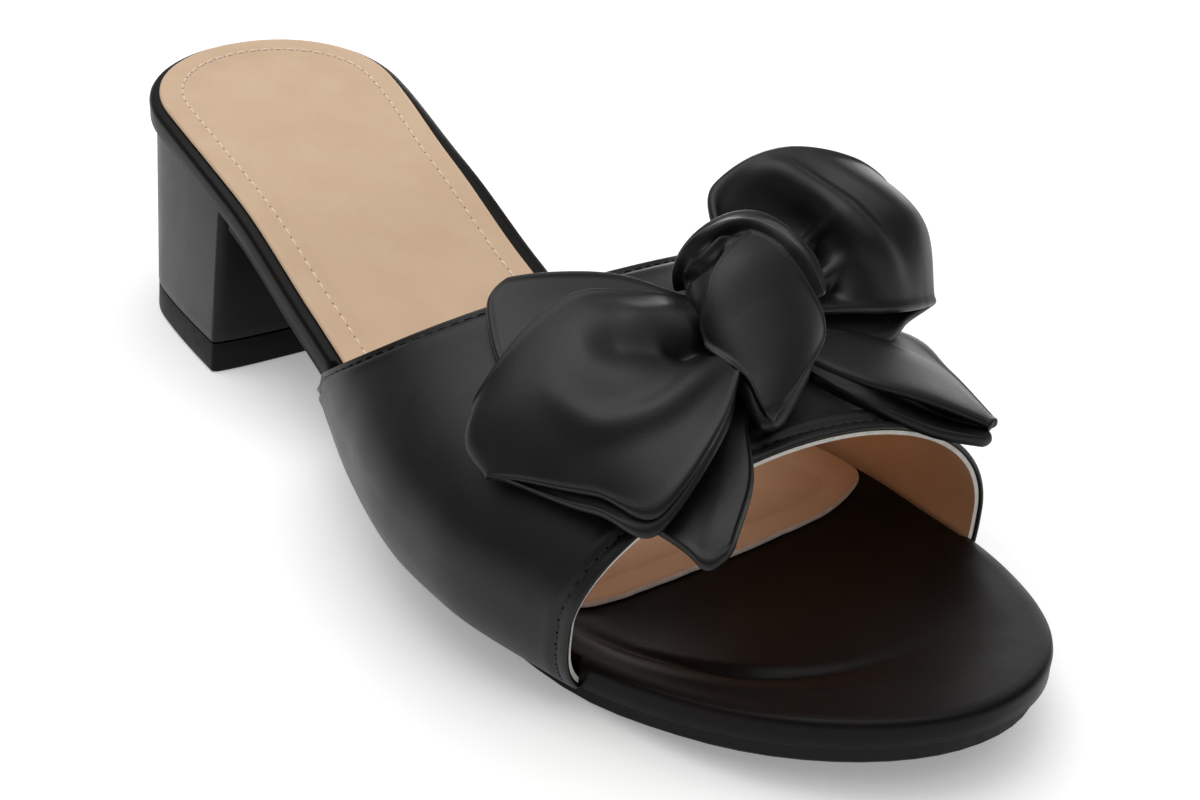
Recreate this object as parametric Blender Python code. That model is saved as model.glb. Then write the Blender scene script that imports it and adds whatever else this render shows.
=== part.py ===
"""Block heel mule with a big bow, for the right foot: its construction, in metres.

The toe points to -Y, the wearer's outer side is -X and +Z is up. The origin is on the floor,
under the middle of the ball of the foot, where the outsole's flat spot is. The shoe is put
together from the floor up: top piece, heel block and outsole, then the lasted upper and the
footbed that holds its turned-in margin down, the sock, and on the upper the tied bow.
"""

import math
from typing import Callable, NamedTuple, Sequence

import bmesh
import bpy
from mathutils import Vector
from mathutils.geometry import intersect_point_line

# Driving sizes of the last and the sole
FOOTBED_LENGTH = 0.250
BALL_WIDTH = 0.0864
SEAT_WIDTH = 0.0616
BALL_AT = 0.712
HEEL_RISE = 0.0440
TOE_SPRING = 0.0073
SEAT_ROUND_LENGTH = 0.030
TOE_ROUND_LENGTH = 0.070
SEAT_POWER = 2.1
TOE_POWER = 2.0

# Thicknesses and the clearance that two touching pieces keep
GAP = 0.0003
OUTSOLE_THICKNESS = 0.0033
FOOTBED_THICKNESS = 0.0050
SOCK_THICKNESS = 0.0007
UPPER_WALL = 0.0018
RIBBON_THICKNESS = 0.0013

# Edges of the sole pieces
OUTSOLE_INSET = 0.0014
OUTSOLE_EDGE_ROUND = 0.0006
SQUARE_END_ROUND = 0.0016
SQUARE_END_POWER = 5.0
FOOTBED_EDGE_ROUND = 0.0012
DISH_DEPTH = 0.0020
DISH_SLOPE_WIDTH = 0.0130
SOCK_LENGTH = 0.1890
SOCK_FRONT_ROUND = 0.0140
SOCK_FRONT_POWER = 3.5

# Heel block and its top piece
HEEL_LENGTH = 0.0612
HEEL_FLARE = 0.0066
REAR_FLARE_SHARE = 0.25
BREAST_LEAN = 0.0030
HEEL_TOP_INSET = 0.0014
TOP_PIECE_THICKNESS = 0.0065
TOP_PIECE_EDGE_ROUND = 0.0006

# Upper: heights over the footbed's rim, and where its two edges meet the sole
INSTEP_HEIGHT = 0.0455
MARGIN_WIDTH = 0.0050
MARGIN_RAMP = 0.0040
UPPER_STAND_OUT = 0.0006
UPPER_FOOT_ROUNDNESS = 2.7
UPPER_CENTRE = -0.0020
OUTER_BULGE = 0.0120
INNER_BULGE = 0.0040
REAR_EDGE_OUTER = 0.420
REAR_EDGE_INNER = 0.440
REAR_EDGE_SWEEP = 0.0480
REAR_EDGE_CURVE = 1.35
FRONT_EDGE_OUTER = 0.796
FRONT_EDGE_INNER = 0.840

# Bow: its centre on the upper, half its span, the ribbon's width and the knot's height
BOW_AT = 0.728
BOW_CENTRE = 0.0030
BOW_HALF_SPAN = 0.0500
RIBBON_WIDTH = 0.0520
BOW_LIFT = 0.0200
BOW_SEAT = 0.0010

# Mesh fineness
ROUND_STEPS = 44
HEEL_STEPS = 22
HEEL_LEVELS = 3
STATION_ROOM = 0.0015
CAP_COLUMNS = 4
UPPER_AROUND = 44
UPPER_ALONG = 11
LOOP_ALONG = 26
TAIL_ALONG = 13
TAIL_ACROSS = 14
RIBBON_ACROSS = 10
KNOT_AROUND = 22
KNOT_ALONG = 16

SEAT_BACK_Y = BALL_AT * FOOTBED_LENGTH


class OutlineRow(NamedTuple):
    """Footbed outline: centre and half width, as shares of half the ball or seat width."""

    along: float
    centre_of_ball: float
    half_of_seat: float
    half_of_ball: float


OUTLINE = (
    OutlineRow(0.00, 0.070, 1.000, 0.000),
    OutlineRow(0.12, -0.010, 1.000, 0.000),
    OutlineRow(0.28, -0.080, 0.948, 0.000),
    OutlineRow(0.42, -0.074, 0.958, 0.000),
    OutlineRow(0.56, -0.023, 0.000, 0.850),
    OutlineRow(0.66, 0.010, 0.000, 0.982),
    OutlineRow(0.72, 0.018, 0.000, 1.000),
    OutlineRow(0.89, 0.030, 0.000, 1.000),
    OutlineRow(1.00, 0.074, 0.000, 1.000),
)


class RiseRow(NamedTuple):
    """Footbed height: shares of the heel's rise and of the toe spring."""

    along: float
    rise: float
    spring: float


RISE = (
    RiseRow(0.00, 1.000, 0.000),
    RiseRow(0.12, 0.905, 0.000),
    RiseRow(0.26, 0.715, 0.000),
    RiseRow(0.38, 0.395, 0.000),
    RiseRow(0.50, 0.105, 0.000),
    RiseRow(0.58, 0.022, 0.000),
    RiseRow(0.65, 0.000, 0.000),
    RiseRow(0.77, 0.000, 0.000),
    RiseRow(0.86, 0.000, 0.330),
    RiseRow(1.00, 0.000, 1.000),
)


class UpperRow(NamedTuple):
    """Upper sections: crown height and side bulges, as shares of their named sizes."""

    along: float
    crown: float
    outer: float
    inner: float


UPPER_SECTIONS = (
    UpperRow(0.38, 0.980, 0.350, 0.750),
    UpperRow(0.50, 0.990, 0.800, 1.000),
    UpperRow(0.60, 0.975, 1.000, 1.000),
    UpperRow(0.70, 0.890, 0.920, 0.750),
    UpperRow(0.80, 0.745, 0.370, 0.380),
    UpperRow(0.90, 0.600, 0.150, 0.250),
)


class DishRow(NamedTuple):
    """Footbed dish: shares of its slope's width from the rim and of its depth."""

    across: float
    depth: float


DISH = (
    DishRow(0.00, 0.00),
    DishRow(0.30, 0.20),
    DishRow(0.65, 0.75),
    DishRow(1.00, 1.00),
)


class BowPoint(NamedTuple):
    """A point of the bow: shares of the half span, the ribbon's width and the bow's lift."""

    out: float
    back: float
    lift: float


class RibbonRow(NamedTuple):
    """One row across a ribbon of the bow, from its rear edge to its front edge."""

    rear: BowPoint
    middle: BowPoint
    front: BowPoint


OUTER_LOOP = (
    RibbonRow(BowPoint(-0.12, 0.10, 0.42), BowPoint(-0.12, -0.04, 0.46), BowPoint(-0.12, -0.18, 0.40)),
    RibbonRow(BowPoint(-0.36, 0.16, 0.42), BowPoint(-0.42, -0.12, 0.50), BowPoint(-0.45, -0.44, 0.42)),
    RibbonRow(BowPoint(-0.54, 0.29, 0.40), BowPoint(-0.62, -0.10, 0.72), BowPoint(-0.76, -0.53, 0.40)),
    RibbonRow(BowPoint(-0.77, 0.25, 0.38), BowPoint(-0.84, -0.08, 0.66), BowPoint(-0.86, -0.34, 0.44)),
    RibbonRow(BowPoint(-0.93, 0.18, 0.32), BowPoint(-1.02, 0.06, 0.42), BowPoint(-1.02, -0.05, 0.36)),
    RibbonRow(BowPoint(-0.90, 0.18, 0.18), BowPoint(-0.97, 0.05, 0.22), BowPoint(-0.98, -0.06, 0.21)),
    RibbonRow(BowPoint(-0.74, 0.20, 0.16), BowPoint(-0.78, -0.08, 0.18), BowPoint(-0.84, -0.30, 0.22)),
    RibbonRow(BowPoint(-0.50, 0.22, 0.16), BowPoint(-0.58, -0.10, 0.18), BowPoint(-0.74, -0.50, 0.22)),
    RibbonRow(BowPoint(-0.32, 0.12, 0.18), BowPoint(-0.36, -0.10, 0.20), BowPoint(-0.42, -0.38, 0.22)),
    RibbonRow(BowPoint(-0.12, 0.08, 0.22), BowPoint(-0.12, -0.04, 0.24), BowPoint(-0.12, -0.16, 0.22)),
)

INNER_LOOP = (
    RibbonRow(BowPoint(0.13, 0.28, 0.46), BowPoint(0.18, 0.05, 0.42), BowPoint(0.16, -0.10, 0.30)),
    RibbonRow(BowPoint(0.25, 0.43, 0.66), BowPoint(0.38, 0.10, 0.46), BowPoint(0.36, -0.12, 0.22)),
    RibbonRow(BowPoint(0.52, 0.40, 0.92), BowPoint(0.58, 0.02, 0.74), BowPoint(0.56, -0.13, 0.10)),
    RibbonRow(BowPoint(0.77, 0.29, 0.88), BowPoint(0.81, 0.02, 0.64), BowPoint(0.74, -0.13, 0.00)),
    RibbonRow(BowPoint(0.89, 0.20, 0.62), BowPoint(0.96, 0.06, 0.34), BowPoint(0.89, -0.09, -0.10)),
    RibbonRow(BowPoint(0.82, 0.32, 0.46), BowPoint(0.85, 0.16, 0.16), BowPoint(0.78, -0.03, -0.20)),
    RibbonRow(BowPoint(0.56, 0.40, 0.42), BowPoint(0.58, 0.17, 0.18), BowPoint(0.56, -0.04, -0.02)),
    RibbonRow(BowPoint(0.34, 0.34, 0.34), BowPoint(0.36, 0.14, 0.22), BowPoint(0.34, -0.06, 0.12)),
    RibbonRow(BowPoint(0.16, 0.20, 0.28), BowPoint(0.18, 0.05, 0.25), BowPoint(0.16, -0.07, 0.20)),
)


class TailRib(NamedTuple):
    """A rib of a tail, from under the knot to the ribbon's cut end."""

    root: BowPoint
    middle: BowPoint
    end: BowPoint


OUTER_TAIL = (
    TailRib(BowPoint(-0.06, 0.20, 0.04), BowPoint(-0.30, 0.42, 0.05), BowPoint(-0.54, 0.61, 0.08)),
    TailRib(BowPoint(-0.10, 0.10, 0.04), BowPoint(-0.42, 0.34, 0.04), BowPoint(-0.68, 0.48, 0.06)),
    TailRib(BowPoint(-0.12, 0.00, 0.04), BowPoint(-0.45, 0.10, 0.04), BowPoint(-0.78, 0.22, 0.03)),
    TailRib(BowPoint(-0.14, -0.10, 0.04), BowPoint(-0.46, -0.15, 0.03), BowPoint(-0.80, -0.15, 0.03)),
    TailRib(BowPoint(-0.16, -0.20, 0.04), BowPoint(-0.42, -0.34, 0.03), BowPoint(-0.75, -0.49, 0.05)),
    TailRib(BowPoint(-0.17, -0.25, 0.05), BowPoint(-0.38, -0.44, 0.06), BowPoint(-0.71, -0.69, 0.11)),
    TailRib(BowPoint(-0.16, -0.28, 0.06), BowPoint(-0.34, -0.47, 0.10), BowPoint(-0.55, -0.68, 0.18)),
)

INNER_TAIL = (
    TailRib(BowPoint(0.16, 0.14, 0.04), BowPoint(0.48, 0.12, -0.14), BowPoint(0.80, -0.02, -0.46)),
    TailRib(BowPoint(0.18, 0.04, 0.04), BowPoint(0.50, -0.04, -0.12), BowPoint(0.79, -0.24, -0.38)),
    TailRib(BowPoint(0.20, -0.08, 0.06), BowPoint(0.46, -0.20, -0.02), BowPoint(0.76, -0.43, -0.24)),
    TailRib(BowPoint(0.19, -0.13, 0.08), BowPoint(0.40, -0.28, 0.03), BowPoint(0.71, -0.56, -0.21)),
    TailRib(BowPoint(0.16, -0.20, 0.04), BowPoint(0.34, -0.40, -0.04), BowPoint(0.62, -0.61, -0.23)),
    TailRib(BowPoint(0.12, -0.26, 0.02), BowPoint(0.26, -0.50, -0.08), BowPoint(0.50, -0.65, -0.23)),
)


class KnotRow(NamedTuple):
    """A section of the knot from rear to front: shares of width, span and lift."""

    back: float
    out: float
    half: float
    bottom: float
    top: float


KNOT = (
    KnotRow(0.26, 0.10, 0.07, 0.10, 0.40),
    KnotRow(0.20, 0.10, 0.16, 0.06, 0.66),
    KnotRow(0.10, 0.08, 0.22, 0.05, 0.84),
    KnotRow(-0.04, 0.03, 0.25, 0.05, 0.84),
    KnotRow(-0.18, -0.03, 0.22, 0.05, 0.66),
    KnotRow(-0.31, -0.11, 0.15, 0.05, 0.44),
    KnotRow(-0.42, -0.22, 0.05, 0.06, 0.20),
)


class Finish(NamedTuple):
    """Colour, roughness and metallic value of one material."""

    name: str
    colour: tuple[float, float, float]
    roughness: float
    metallic: float = 0.0


BLACK_UPPER = Finish("black_upper_leather", (0.016, 0.016, 0.017), 0.36)
BLACK_BOW = Finish("black_bow_leather", (0.017, 0.017, 0.018), 0.33)
BLACK_FOOTBED = Finish("black_footbed_leather", (0.026, 0.022, 0.021), 0.42)
BLACK_HEEL = Finish("black_heel_cover", (0.018, 0.018, 0.019), 0.38)
TAN_SOCK = Finish("tan_sock_leather", (0.730, 0.520, 0.360), 0.55)
BLACK_RUBBER = Finish("black_rubber", (0.020, 0.020, 0.021), 0.60)


class Profile:
    """A smooth curve through a short table that never overshoots between its rows."""

    def __init__(self, places: Sequence[float], values: Sequence[float]) -> None:
        self.places = list(places)
        self.values = list(values)
        steps = [b - a for a, b in zip(self.places, self.places[1:])]
        slopes = [(b - a) / step for a, b, step in zip(self.values, self.values[1:], steps)]
        self.tangents = [slopes[0]]
        for left, right in zip(slopes, slopes[1:]):
            flat = left * right <= 0.0
            self.tangents.append(0.0 if flat else 2.0 * left * right / (left + right))
        self.tangents.append(slopes[-1])

    def __call__(self, place: float) -> float:
        """Return the value at a place, held level past either end."""
        if place <= self.places[0]:
            return self.values[0]
        if place >= self.places[-1]:
            return self.values[-1]
        row = max(i for i, start in enumerate(self.places) if start <= place)
        width = self.places[row + 1] - self.places[row]
        t = (place - self.places[row]) / width
        rest = 1.0 - t
        start, end = self.values[row], self.values[row + 1]
        lean_in = self.tangents[row] * width
        lean_out = self.tangents[row + 1] * width
        return (
            start * rest * rest * (1.0 + 2.0 * t)
            + end * t * t * (3.0 - 2.0 * t)
            + lean_in * t * rest * rest
            - lean_out * t * t * rest
        )


def half_width_of(row: OutlineRow) -> float:
    """Return the half width of an outline row before its ends are rounded."""
    return row.half_of_seat * SEAT_WIDTH / 2.0 + row.half_of_ball * BALL_WIDTH / 2.0


def height_of(row: RiseRow) -> float:
    """Return the height of the footbed's rim at a row of the rise table."""
    return REST_STACK + row.rise * HEEL_RISE + row.spring * TOE_SPRING


REST_STACK = OUTSOLE_THICKNESS + GAP + FOOTBED_THICKNESS
CENTRE_LINE = Profile([r.along for r in OUTLINE], [r.centre_of_ball * BALL_WIDTH / 2.0 for r in OUTLINE])
HALF_WIDTH = Profile([r.along for r in OUTLINE], [half_width_of(r) for r in OUTLINE])
RIM_HEIGHT = Profile([r.along for r in RISE], [height_of(r) for r in RISE])
CROWN = Profile([r.along for r in UPPER_SECTIONS], [r.crown * INSTEP_HEIGHT for r in UPPER_SECTIONS])
OUTER_SWELL = Profile([r.along for r in UPPER_SECTIONS], [r.outer * OUTER_BULGE for r in UPPER_SECTIONS])
INNER_SWELL = Profile([r.along for r in UPPER_SECTIONS], [r.inner * INNER_BULGE for r in UPPER_SECTIONS])


def along_of(y: float) -> float:
    """Return the share of the footbed's length from the heel's back at a place along Y."""
    return (SEAT_BACK_Y - y) / FOOTBED_LENGTH


def y_of(along: float) -> float:
    """Return the place along Y of a share of the footbed's length."""
    return SEAT_BACK_Y - along * FOOTBED_LENGTH


def rounded_share(distance: float, length: float, power: float) -> float:
    """Return the width share at a distance from a rounded end of a given length."""
    if distance >= length:
        return 1.0
    share = min(1.0, max(0.0, 1.0 - distance / length))
    return (1.0 - share**power) ** (1.0 / power)


def rim_height(y: float) -> float:
    """Return the height of the footbed's rim at a place along Y."""
    return RIM_HEIGHT(along_of(y))


def below_rim(y: float, depth: float) -> float:
    """Return the height of the surface that lies a depth under the rim, square to it."""
    step = 0.001
    slope = (rim_height(y + step) - rim_height(y - step)) / (2.0 * step)
    return rim_height(y) - depth * math.hypot(1.0, slope)


class Plan(NamedTuple):
    """A closed outline cut from the footbed's: its two ends and how each is rounded."""

    start: float
    stop: float
    start_round: float
    start_power: float
    stop_round: float
    stop_power: float


FOOTBED_PLAN = Plan(0.0, FOOTBED_LENGTH, SEAT_ROUND_LENGTH, SEAT_POWER, TOE_ROUND_LENGTH, TOE_POWER)


def end_factor(distance: float, plan: Plan, inset: float) -> float:
    """Return the width share of a plan, drawn in by an inset, at a distance from the heel's back."""

    def share(from_end: float, length: float, power: float) -> float:
        return rounded_share(from_end - inset, max(length - inset, STATION_ROOM / 2.0), power)

    seat = share(distance, SEAT_ROUND_LENGTH, SEAT_POWER)
    toe = share(FOOTBED_LENGTH - distance, TOE_ROUND_LENGTH, TOE_POWER)
    own_start = share(distance - plan.start, plan.start_round, plan.start_power)
    own_stop = share(plan.stop - distance, plan.stop_round, plan.stop_power)
    return min(seat, own_start) * min(toe, own_stop)


def stations(plan: Plan, steps: int, extra: Sequence[float] = ()) -> list[float]:
    """Return shares of a plan's length from its rear tip to its front tip.

    Args:
        plan: The outline's ends.
        steps: Steps from tip to tip, shortest at the tips.
        extra: Distances from the heel's back that are added, in place of any step close by.
    """
    length = plan.stop - plan.start
    even = [(1.0 - math.cos(math.pi * step / steps)) / 2.0 for step in range(steps + 1)]
    added = [(place - plan.start) / length for place in extra]
    room = STATION_ROOM / length
    kept = [share for share in even if all(abs(share - other) > room for other in added)]
    return sorted(kept + added)


def plan_ring(plan: Plan, shares: Sequence[float], inset: float = 0.0) -> list[Vector]:
    """Return the ring of a plan, from its rear tip along -X to its front tip and back.

    Args:
        plan: The outline's ends.
        shares: Shares of the length at which the ring has points, tip to tip.
        inset: Distance that the ring lies inside the outline.

    Returns:
        The ring's points at height zero.
    """
    outer: list[Vector] = []
    inner: list[Vector] = []
    length = plan.stop - plan.start - 2.0 * inset
    for share in shares:
        distance = plan.start + inset + length * share
        along = distance / FOOTBED_LENGTH
        half = (HALF_WIDTH(along) - inset) * end_factor(distance, plan, inset)
        y = SEAT_BACK_Y - distance
        outer.append(Vector((CENTRE_LINE(along) - half, y, 0.0)))
        inner.append(Vector((CENTRE_LINE(along) + half, y, 0.0)))
    return outer + inner[-2:0:-1]


def inset_ring(ring: Sequence[Vector], insets: Sequence[float]) -> list[Vector]:
    """Return a flat ring moved inward, each point by its own distance."""
    moved: list[Vector] = []
    count = len(ring)
    for index, (point, inset) in enumerate(zip(ring, insets)):
        before = (point - ring[index - 1]).normalized()
        after = (ring[(index + 1) % count] - point).normalized()
        tangent = before + after
        inward = Vector((-tangent.y, tangent.x, 0.0)).normalized()
        bend = max(0.6, inward.dot(Vector((-after.y, after.x, 0.0))))
        moved.append(point + inward * (inset / bend))
    return moved


def lift_ring(ring: Sequence[Vector], height: Callable[[Vector], float]) -> list[Vector]:
    """Return a ring with each point set to the height that a function gives it."""
    return [Vector((point.x, point.y, height(point))) for point in ring]


def make_material(finish: Finish) -> bpy.types.Material:
    """Return a Principled material with a finish's values."""
    material = bpy.data.materials.get(finish.name) or bpy.data.materials.new(finish.name)
    material.use_nodes = True
    shader = material.node_tree.nodes["Principled BSDF"]
    shader.inputs["Base Color"].default_value = (*finish.colour, 1.0)
    shader.inputs["Roughness"].default_value = finish.roughness
    shader.inputs["Metallic"].default_value = finish.metallic
    return material


def add_body(
    name: str, points: Sequence[Vector], faces: Sequence[Sequence[int]], finish: Finish
) -> bpy.types.Object:
    """Add one closed body with its faces turned outward and its material set."""
    mesh = bpy.data.meshes.new(name)
    mesh.from_pydata([tuple(point) for point in points], [], [tuple(face) for face in faces])
    work = bmesh.new()
    work.from_mesh(mesh)
    bmesh.ops.recalc_face_normals(work, faces=work.faces)
    work.to_mesh(mesh)
    work.free()
    mesh.shade_smooth()
    mesh.set_sharp_from_angle(angle=math.radians(40.0))
    mesh.materials.append(make_material(finish))
    body = bpy.data.objects.new(name, mesh)
    bpy.context.scene.collection.objects.link(body)
    return body


def layered_body(
    name: str,
    rings: Sequence[Sequence[Vector]],
    top: Callable[[Vector], float],
    bottom: Callable[[Vector], float],
    finish: Finish,
) -> bpy.types.Object:
    """Add a body from rings, top ring first, closed above and below by crosswise strips.

    Args:
        name: The body's name.
        rings: Rings of equal count, each as plan_ring orders it.
        top: Height of the upper face inside the first ring.
        bottom: Height of the lower face inside the last ring.
        finish: The body's material.

    Returns:
        The new object.
    """
    points: list[Vector] = [point for ring in rings for point in ring]
    faces: list[tuple[int, ...]] = []
    count = len(rings[0])
    steps = count // 2
    for level in range(len(rings) - 1):
        first, second = level * count, (level + 1) * count
        for index in range(count):
            following = (index + 1) % count
            faces.append((first + index, first + following, second + following, second + index))
    for level, height in ((0, top), (len(rings) - 1, bottom)):
        base = level * count
        rows: list[list[int]] = []
        for step in range(1, steps):
            left, right = points[base + step], points[base + count - step]
            row = [base + step]
            for column in range(1, CAP_COLUMNS):
                place = left.lerp(right, column / CAP_COLUMNS)
                row.append(len(points))
                points.append(Vector((place.x, place.y, height(place))))
            row.append(base + count - step)
            rows.append(row)
        for row, following_row in zip(rows, rows[1:]):
            for column in range(CAP_COLUMNS):
                faces.append(
                    (row[column], row[column + 1], following_row[column + 1], following_row[column])
                )
        for tip, row in ((base, rows[0]), (base + steps, rows[-1])):
            for column in range(CAP_COLUMNS):
                faces.append((tip, row[column], row[column + 1]))
    return add_body(name, points, faces, finish)


def rear_edge_y(around: float) -> float:
    """Return the place along Y of the upper's rear edge, around from outer to inner side."""
    side = y_of(REAR_EDGE_OUTER) * (1.0 - around) + y_of(REAR_EDGE_INNER) * around
    return side - REAR_EDGE_SWEEP * math.sin(math.pi * around) ** REAR_EDGE_CURVE


def front_edge_y(around: float) -> float:
    """Return the place along Y of the upper's front edge, around from outer to inner side."""
    share = math.sin(math.pi / 2.0 * around)
    return y_of(FRONT_EDGE_OUTER) * (1.0 - share) + y_of(FRONT_EDGE_INNER) * share


def margin_floor(y: float) -> float:
    """Return the height on which the upper's margin lies, a gap over the outsole."""
    return below_rim(y, FOOTBED_THICKNESS)


def margin_mask(point: Vector) -> float:
    """Return 1 where the upper's margin passes under the footbed, 0 clear of it."""
    around = 0.0 if point.x < CENTRE_LINE(along_of(point.y)) else 1.0
    behind = (rear_edge_y(around) + 2.0 * GAP + MARGIN_RAMP - point.y) / MARGIN_RAMP
    ahead = (point.y - front_edge_y(around) + 2.0 * GAP + MARGIN_RAMP) / MARGIN_RAMP
    share = max(0.0, min(1.0, behind, ahead))
    return share * share * (3.0 - 2.0 * share)


def upper_edge_stations() -> list[float]:
    """Return where the footbed's edge starts and ends its tuck beside the upper's edges."""
    places: list[float] = []
    for around in (0.0, 1.0):
        for ramp in (0.0, MARGIN_RAMP):
            places.append(SEAT_BACK_Y - rear_edge_y(around) - 2.0 * GAP - ramp)
            places.append(SEAT_BACK_Y - front_edge_y(around) + 2.0 * GAP + ramp)
    return places


FOOTBED_STATIONS = stations(FOOTBED_PLAN, ROUND_STEPS, upper_edge_stations())
FOOTBED_EDGE = plan_ring(FOOTBED_PLAN, FOOTBED_STATIONS)
RIM_INSET = 2.0 * FOOTBED_EDGE_ROUND
DISH_FALL = Profile(
    [RIM_INSET + row.across * DISH_SLOPE_WIDTH for row in DISH],
    [row.depth * DISH_DEPTH for row in DISH],
)


def dish_depth(point: Vector) -> float:
    """Return how far the footbed's top lies under its rim, from the distance to its edge."""
    flat = Vector((point.x, point.y, 0.0))
    nearest = FOOTBED_LENGTH
    for here, there in zip(FOOTBED_EDGE, FOOTBED_EDGE[1:] + FOOTBED_EDGE[:1]):
        foot, share = intersect_point_line(flat, here, there)
        if share < 0.0:
            foot = here
        elif share > 1.0:
            foot = there
        nearest = min(nearest, (flat - foot).length)
    return DISH_FALL(nearest)


def sole_half(y: float, side: int) -> float:
    """Return the X of the footbed's outline at a place along Y, on the side -1 or +1."""
    distance = along_of(y) * FOOTBED_LENGTH
    along = along_of(y)
    return CENTRE_LINE(along) + side * HALF_WIDTH(along) * end_factor(distance, FOOTBED_PLAN, 0.0)


class Section(NamedTuple):
    """One half of an upper section: where it starts, its widest point and its radii."""

    foot_x: float
    centre: float
    side: int
    reach: float
    dip: float
    crown: float
    radius: float


def upper_section(y: float, side: int) -> Section:
    """Return the half section of the upper on the outer (-1) or inner (+1) side."""
    along = along_of(y)
    foot_x = sole_half(y, side) + side * UPPER_STAND_OUT
    swell = OUTER_SWELL(along) if side < 0 else INNER_SWELL(along)
    reach = abs(foot_x - UPPER_CENTRE) + swell
    narrow = abs(foot_x - UPPER_CENTRE) / reach
    dip = math.acos(narrow ** (UPPER_FOOT_ROUNDNESS / 2.0))
    crown = rim_height(y) + CROWN(along)
    drop = math.sin(dip) ** (2.0 / UPPER_FOOT_ROUNDNESS)
    radius = (crown - margin_floor(y)) / (1.0 + drop)
    return Section(foot_x, UPPER_CENTRE, side, reach, dip, crown, radius)


def section_point(section: Section, y: float, climb: float) -> Vector:
    """Return a point of a half section, climb 0 at its foot and 1 at its crown."""
    angle = -section.dip + (math.pi / 2.0 + section.dip) * climb
    power = 2.0 / UPPER_FOOT_ROUNDNESS if angle < 0.0 else 1.0
    level = math.copysign(abs(math.sin(angle)) ** power, angle)
    width = abs(math.cos(angle)) ** power
    x = section.centre + section.side * section.reach * width
    return Vector((x, y, section.crown - section.radius + section.radius * level))


def upper_point(around: float, forward: float) -> Vector:
    """Return a point of the upper's outer face.

    Args:
        around: 0 at the outer side's foot, 0.5 at the crown, 1 at the inner side's foot.
        forward: 0 at the rear edge, 1 at the front edge.
    """
    y = rear_edge_y(around) * (1.0 - forward) + front_edge_y(around) * forward
    side = -1 if around <= 0.5 else 1
    climb = 1.0 - abs(2.0 * around - 1.0)
    return section_point(upper_section(y, side), y, climb)


def upper_top(x: float, y: float) -> float:
    """Return the height of the upper's outer face over a place, carried past its edges."""
    side = -1 if x < UPPER_CENTRE else 1
    section = upper_section(y, side)
    share = min(0.97, abs(x - section.centre) / section.reach)
    return section.crown - section.radius * (1.0 - math.sqrt(1.0 - share * share))


def grid_normals(grid: Sequence[Sequence[Vector]]) -> list[list[Vector]]:
    """Return the unit normals of a grid of points."""
    rows, columns = len(grid), len(grid[0])
    normals: list[list[Vector]] = []
    for i in range(rows):
        line: list[Vector] = []
        for j in range(columns):
            down = grid[min(i + 1, rows - 1)][j] - grid[max(i - 1, 0)][j]
            across = grid[i][min(j + 1, columns - 1)] - grid[i][max(j - 1, 0)]
            line.append(down.cross(across).normalized())
        normals.append(line)
    return normals


def walled_body(
    name: str,
    first: Sequence[Sequence[Vector]],
    second: Sequence[Sequence[Vector]],
    finish: Finish,
) -> bpy.types.Object:
    """Add a closed wall between two grids of equal size, joined along all four edges."""
    rows, columns = len(first), len(first[0])
    points = [point for row in first for point in row] + [point for row in second for point in row]
    shift = rows * columns
    faces: list[tuple[int, ...]] = []
    for i in range(rows - 1):
        for j in range(columns - 1):
            a, b = i * columns + j, (i + 1) * columns + j
            faces.append((a, a + 1, b + 1, b))
            faces.append((shift + a, shift + b, shift + b + 1, shift + a + 1))
    border = [j for j in range(columns)]
    border += [i * columns + columns - 1 for i in range(1, rows)]
    border += [(rows - 1) * columns + j for j in range(columns - 2, -1, -1)]
    border += [i * columns for i in range(rows - 2, 0, -1)]
    for here, there in zip(border, border[1:] + border[:1]):
        faces.append((here, there, shift + there, shift + here))
    return add_body(name, points, faces, finish)


def thick_sheet(
    name: str, middle: Sequence[Sequence[Vector]], thickness: float, finish: Finish
) -> bpy.types.Object:
    """Add a sheet of even thickness about a grid of points."""
    normals = grid_normals(middle)
    over = [
        [point + normal * thickness / 2.0 for point, normal in zip(row, line)]
        for row, line in zip(middle, normals)
    ]
    under = [
        [point - normal * thickness / 2.0 for point, normal in zip(row, line)]
        for row, line in zip(middle, normals)
    ]
    return walled_body(name, over, under, finish)


def curve_through(points: Sequence[Vector], count: int) -> list[Vector]:
    """Return evenly counted points of a smooth curve through a few given points."""
    padded = [points[0] * 2.0 - points[1], *points, points[-1] * 2.0 - points[-2]]
    spans = len(points) - 1
    curve: list[Vector] = []
    for index in range(count):
        place = spans * index / (count - 1)
        span = min(int(place), spans - 1)
        t = place - span
        a, b, c, d = padded[span : span + 4]
        curve.append(
            0.5
            * (
                b * 2.0
                + (c - a) * t
                + (a * 2.0 - b * 5.0 + c * 4.0 - d) * t * t
                + (b * 3.0 - a - c * 3.0 + d) * t * t * t
            )
        )
    return curve


def bow_place(shares: Vector, follow: float) -> Vector:
    """Return the place of a bow point.

    Args:
        shares: Its out, back and lift shares.
        follow: 1 where its height follows the upper's face, 0 where it is level with the crown.
    """
    x = BOW_CENTRE + shares.x * BOW_HALF_SPAN
    y = y_of(BOW_AT) + shares.y * RIBBON_WIDTH
    crown = upper_top(UPPER_CENTRE, y)
    base = crown + follow * (upper_top(x, y) - crown)
    return Vector((x, y, base + BOW_SEAT + shares.z * BOW_LIFT))


SEAT_LEVEL = below_rim(y_of(HEEL_LENGTH / FOOTBED_LENGTH), FOOTBED_THICKNESS + GAP)


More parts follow.
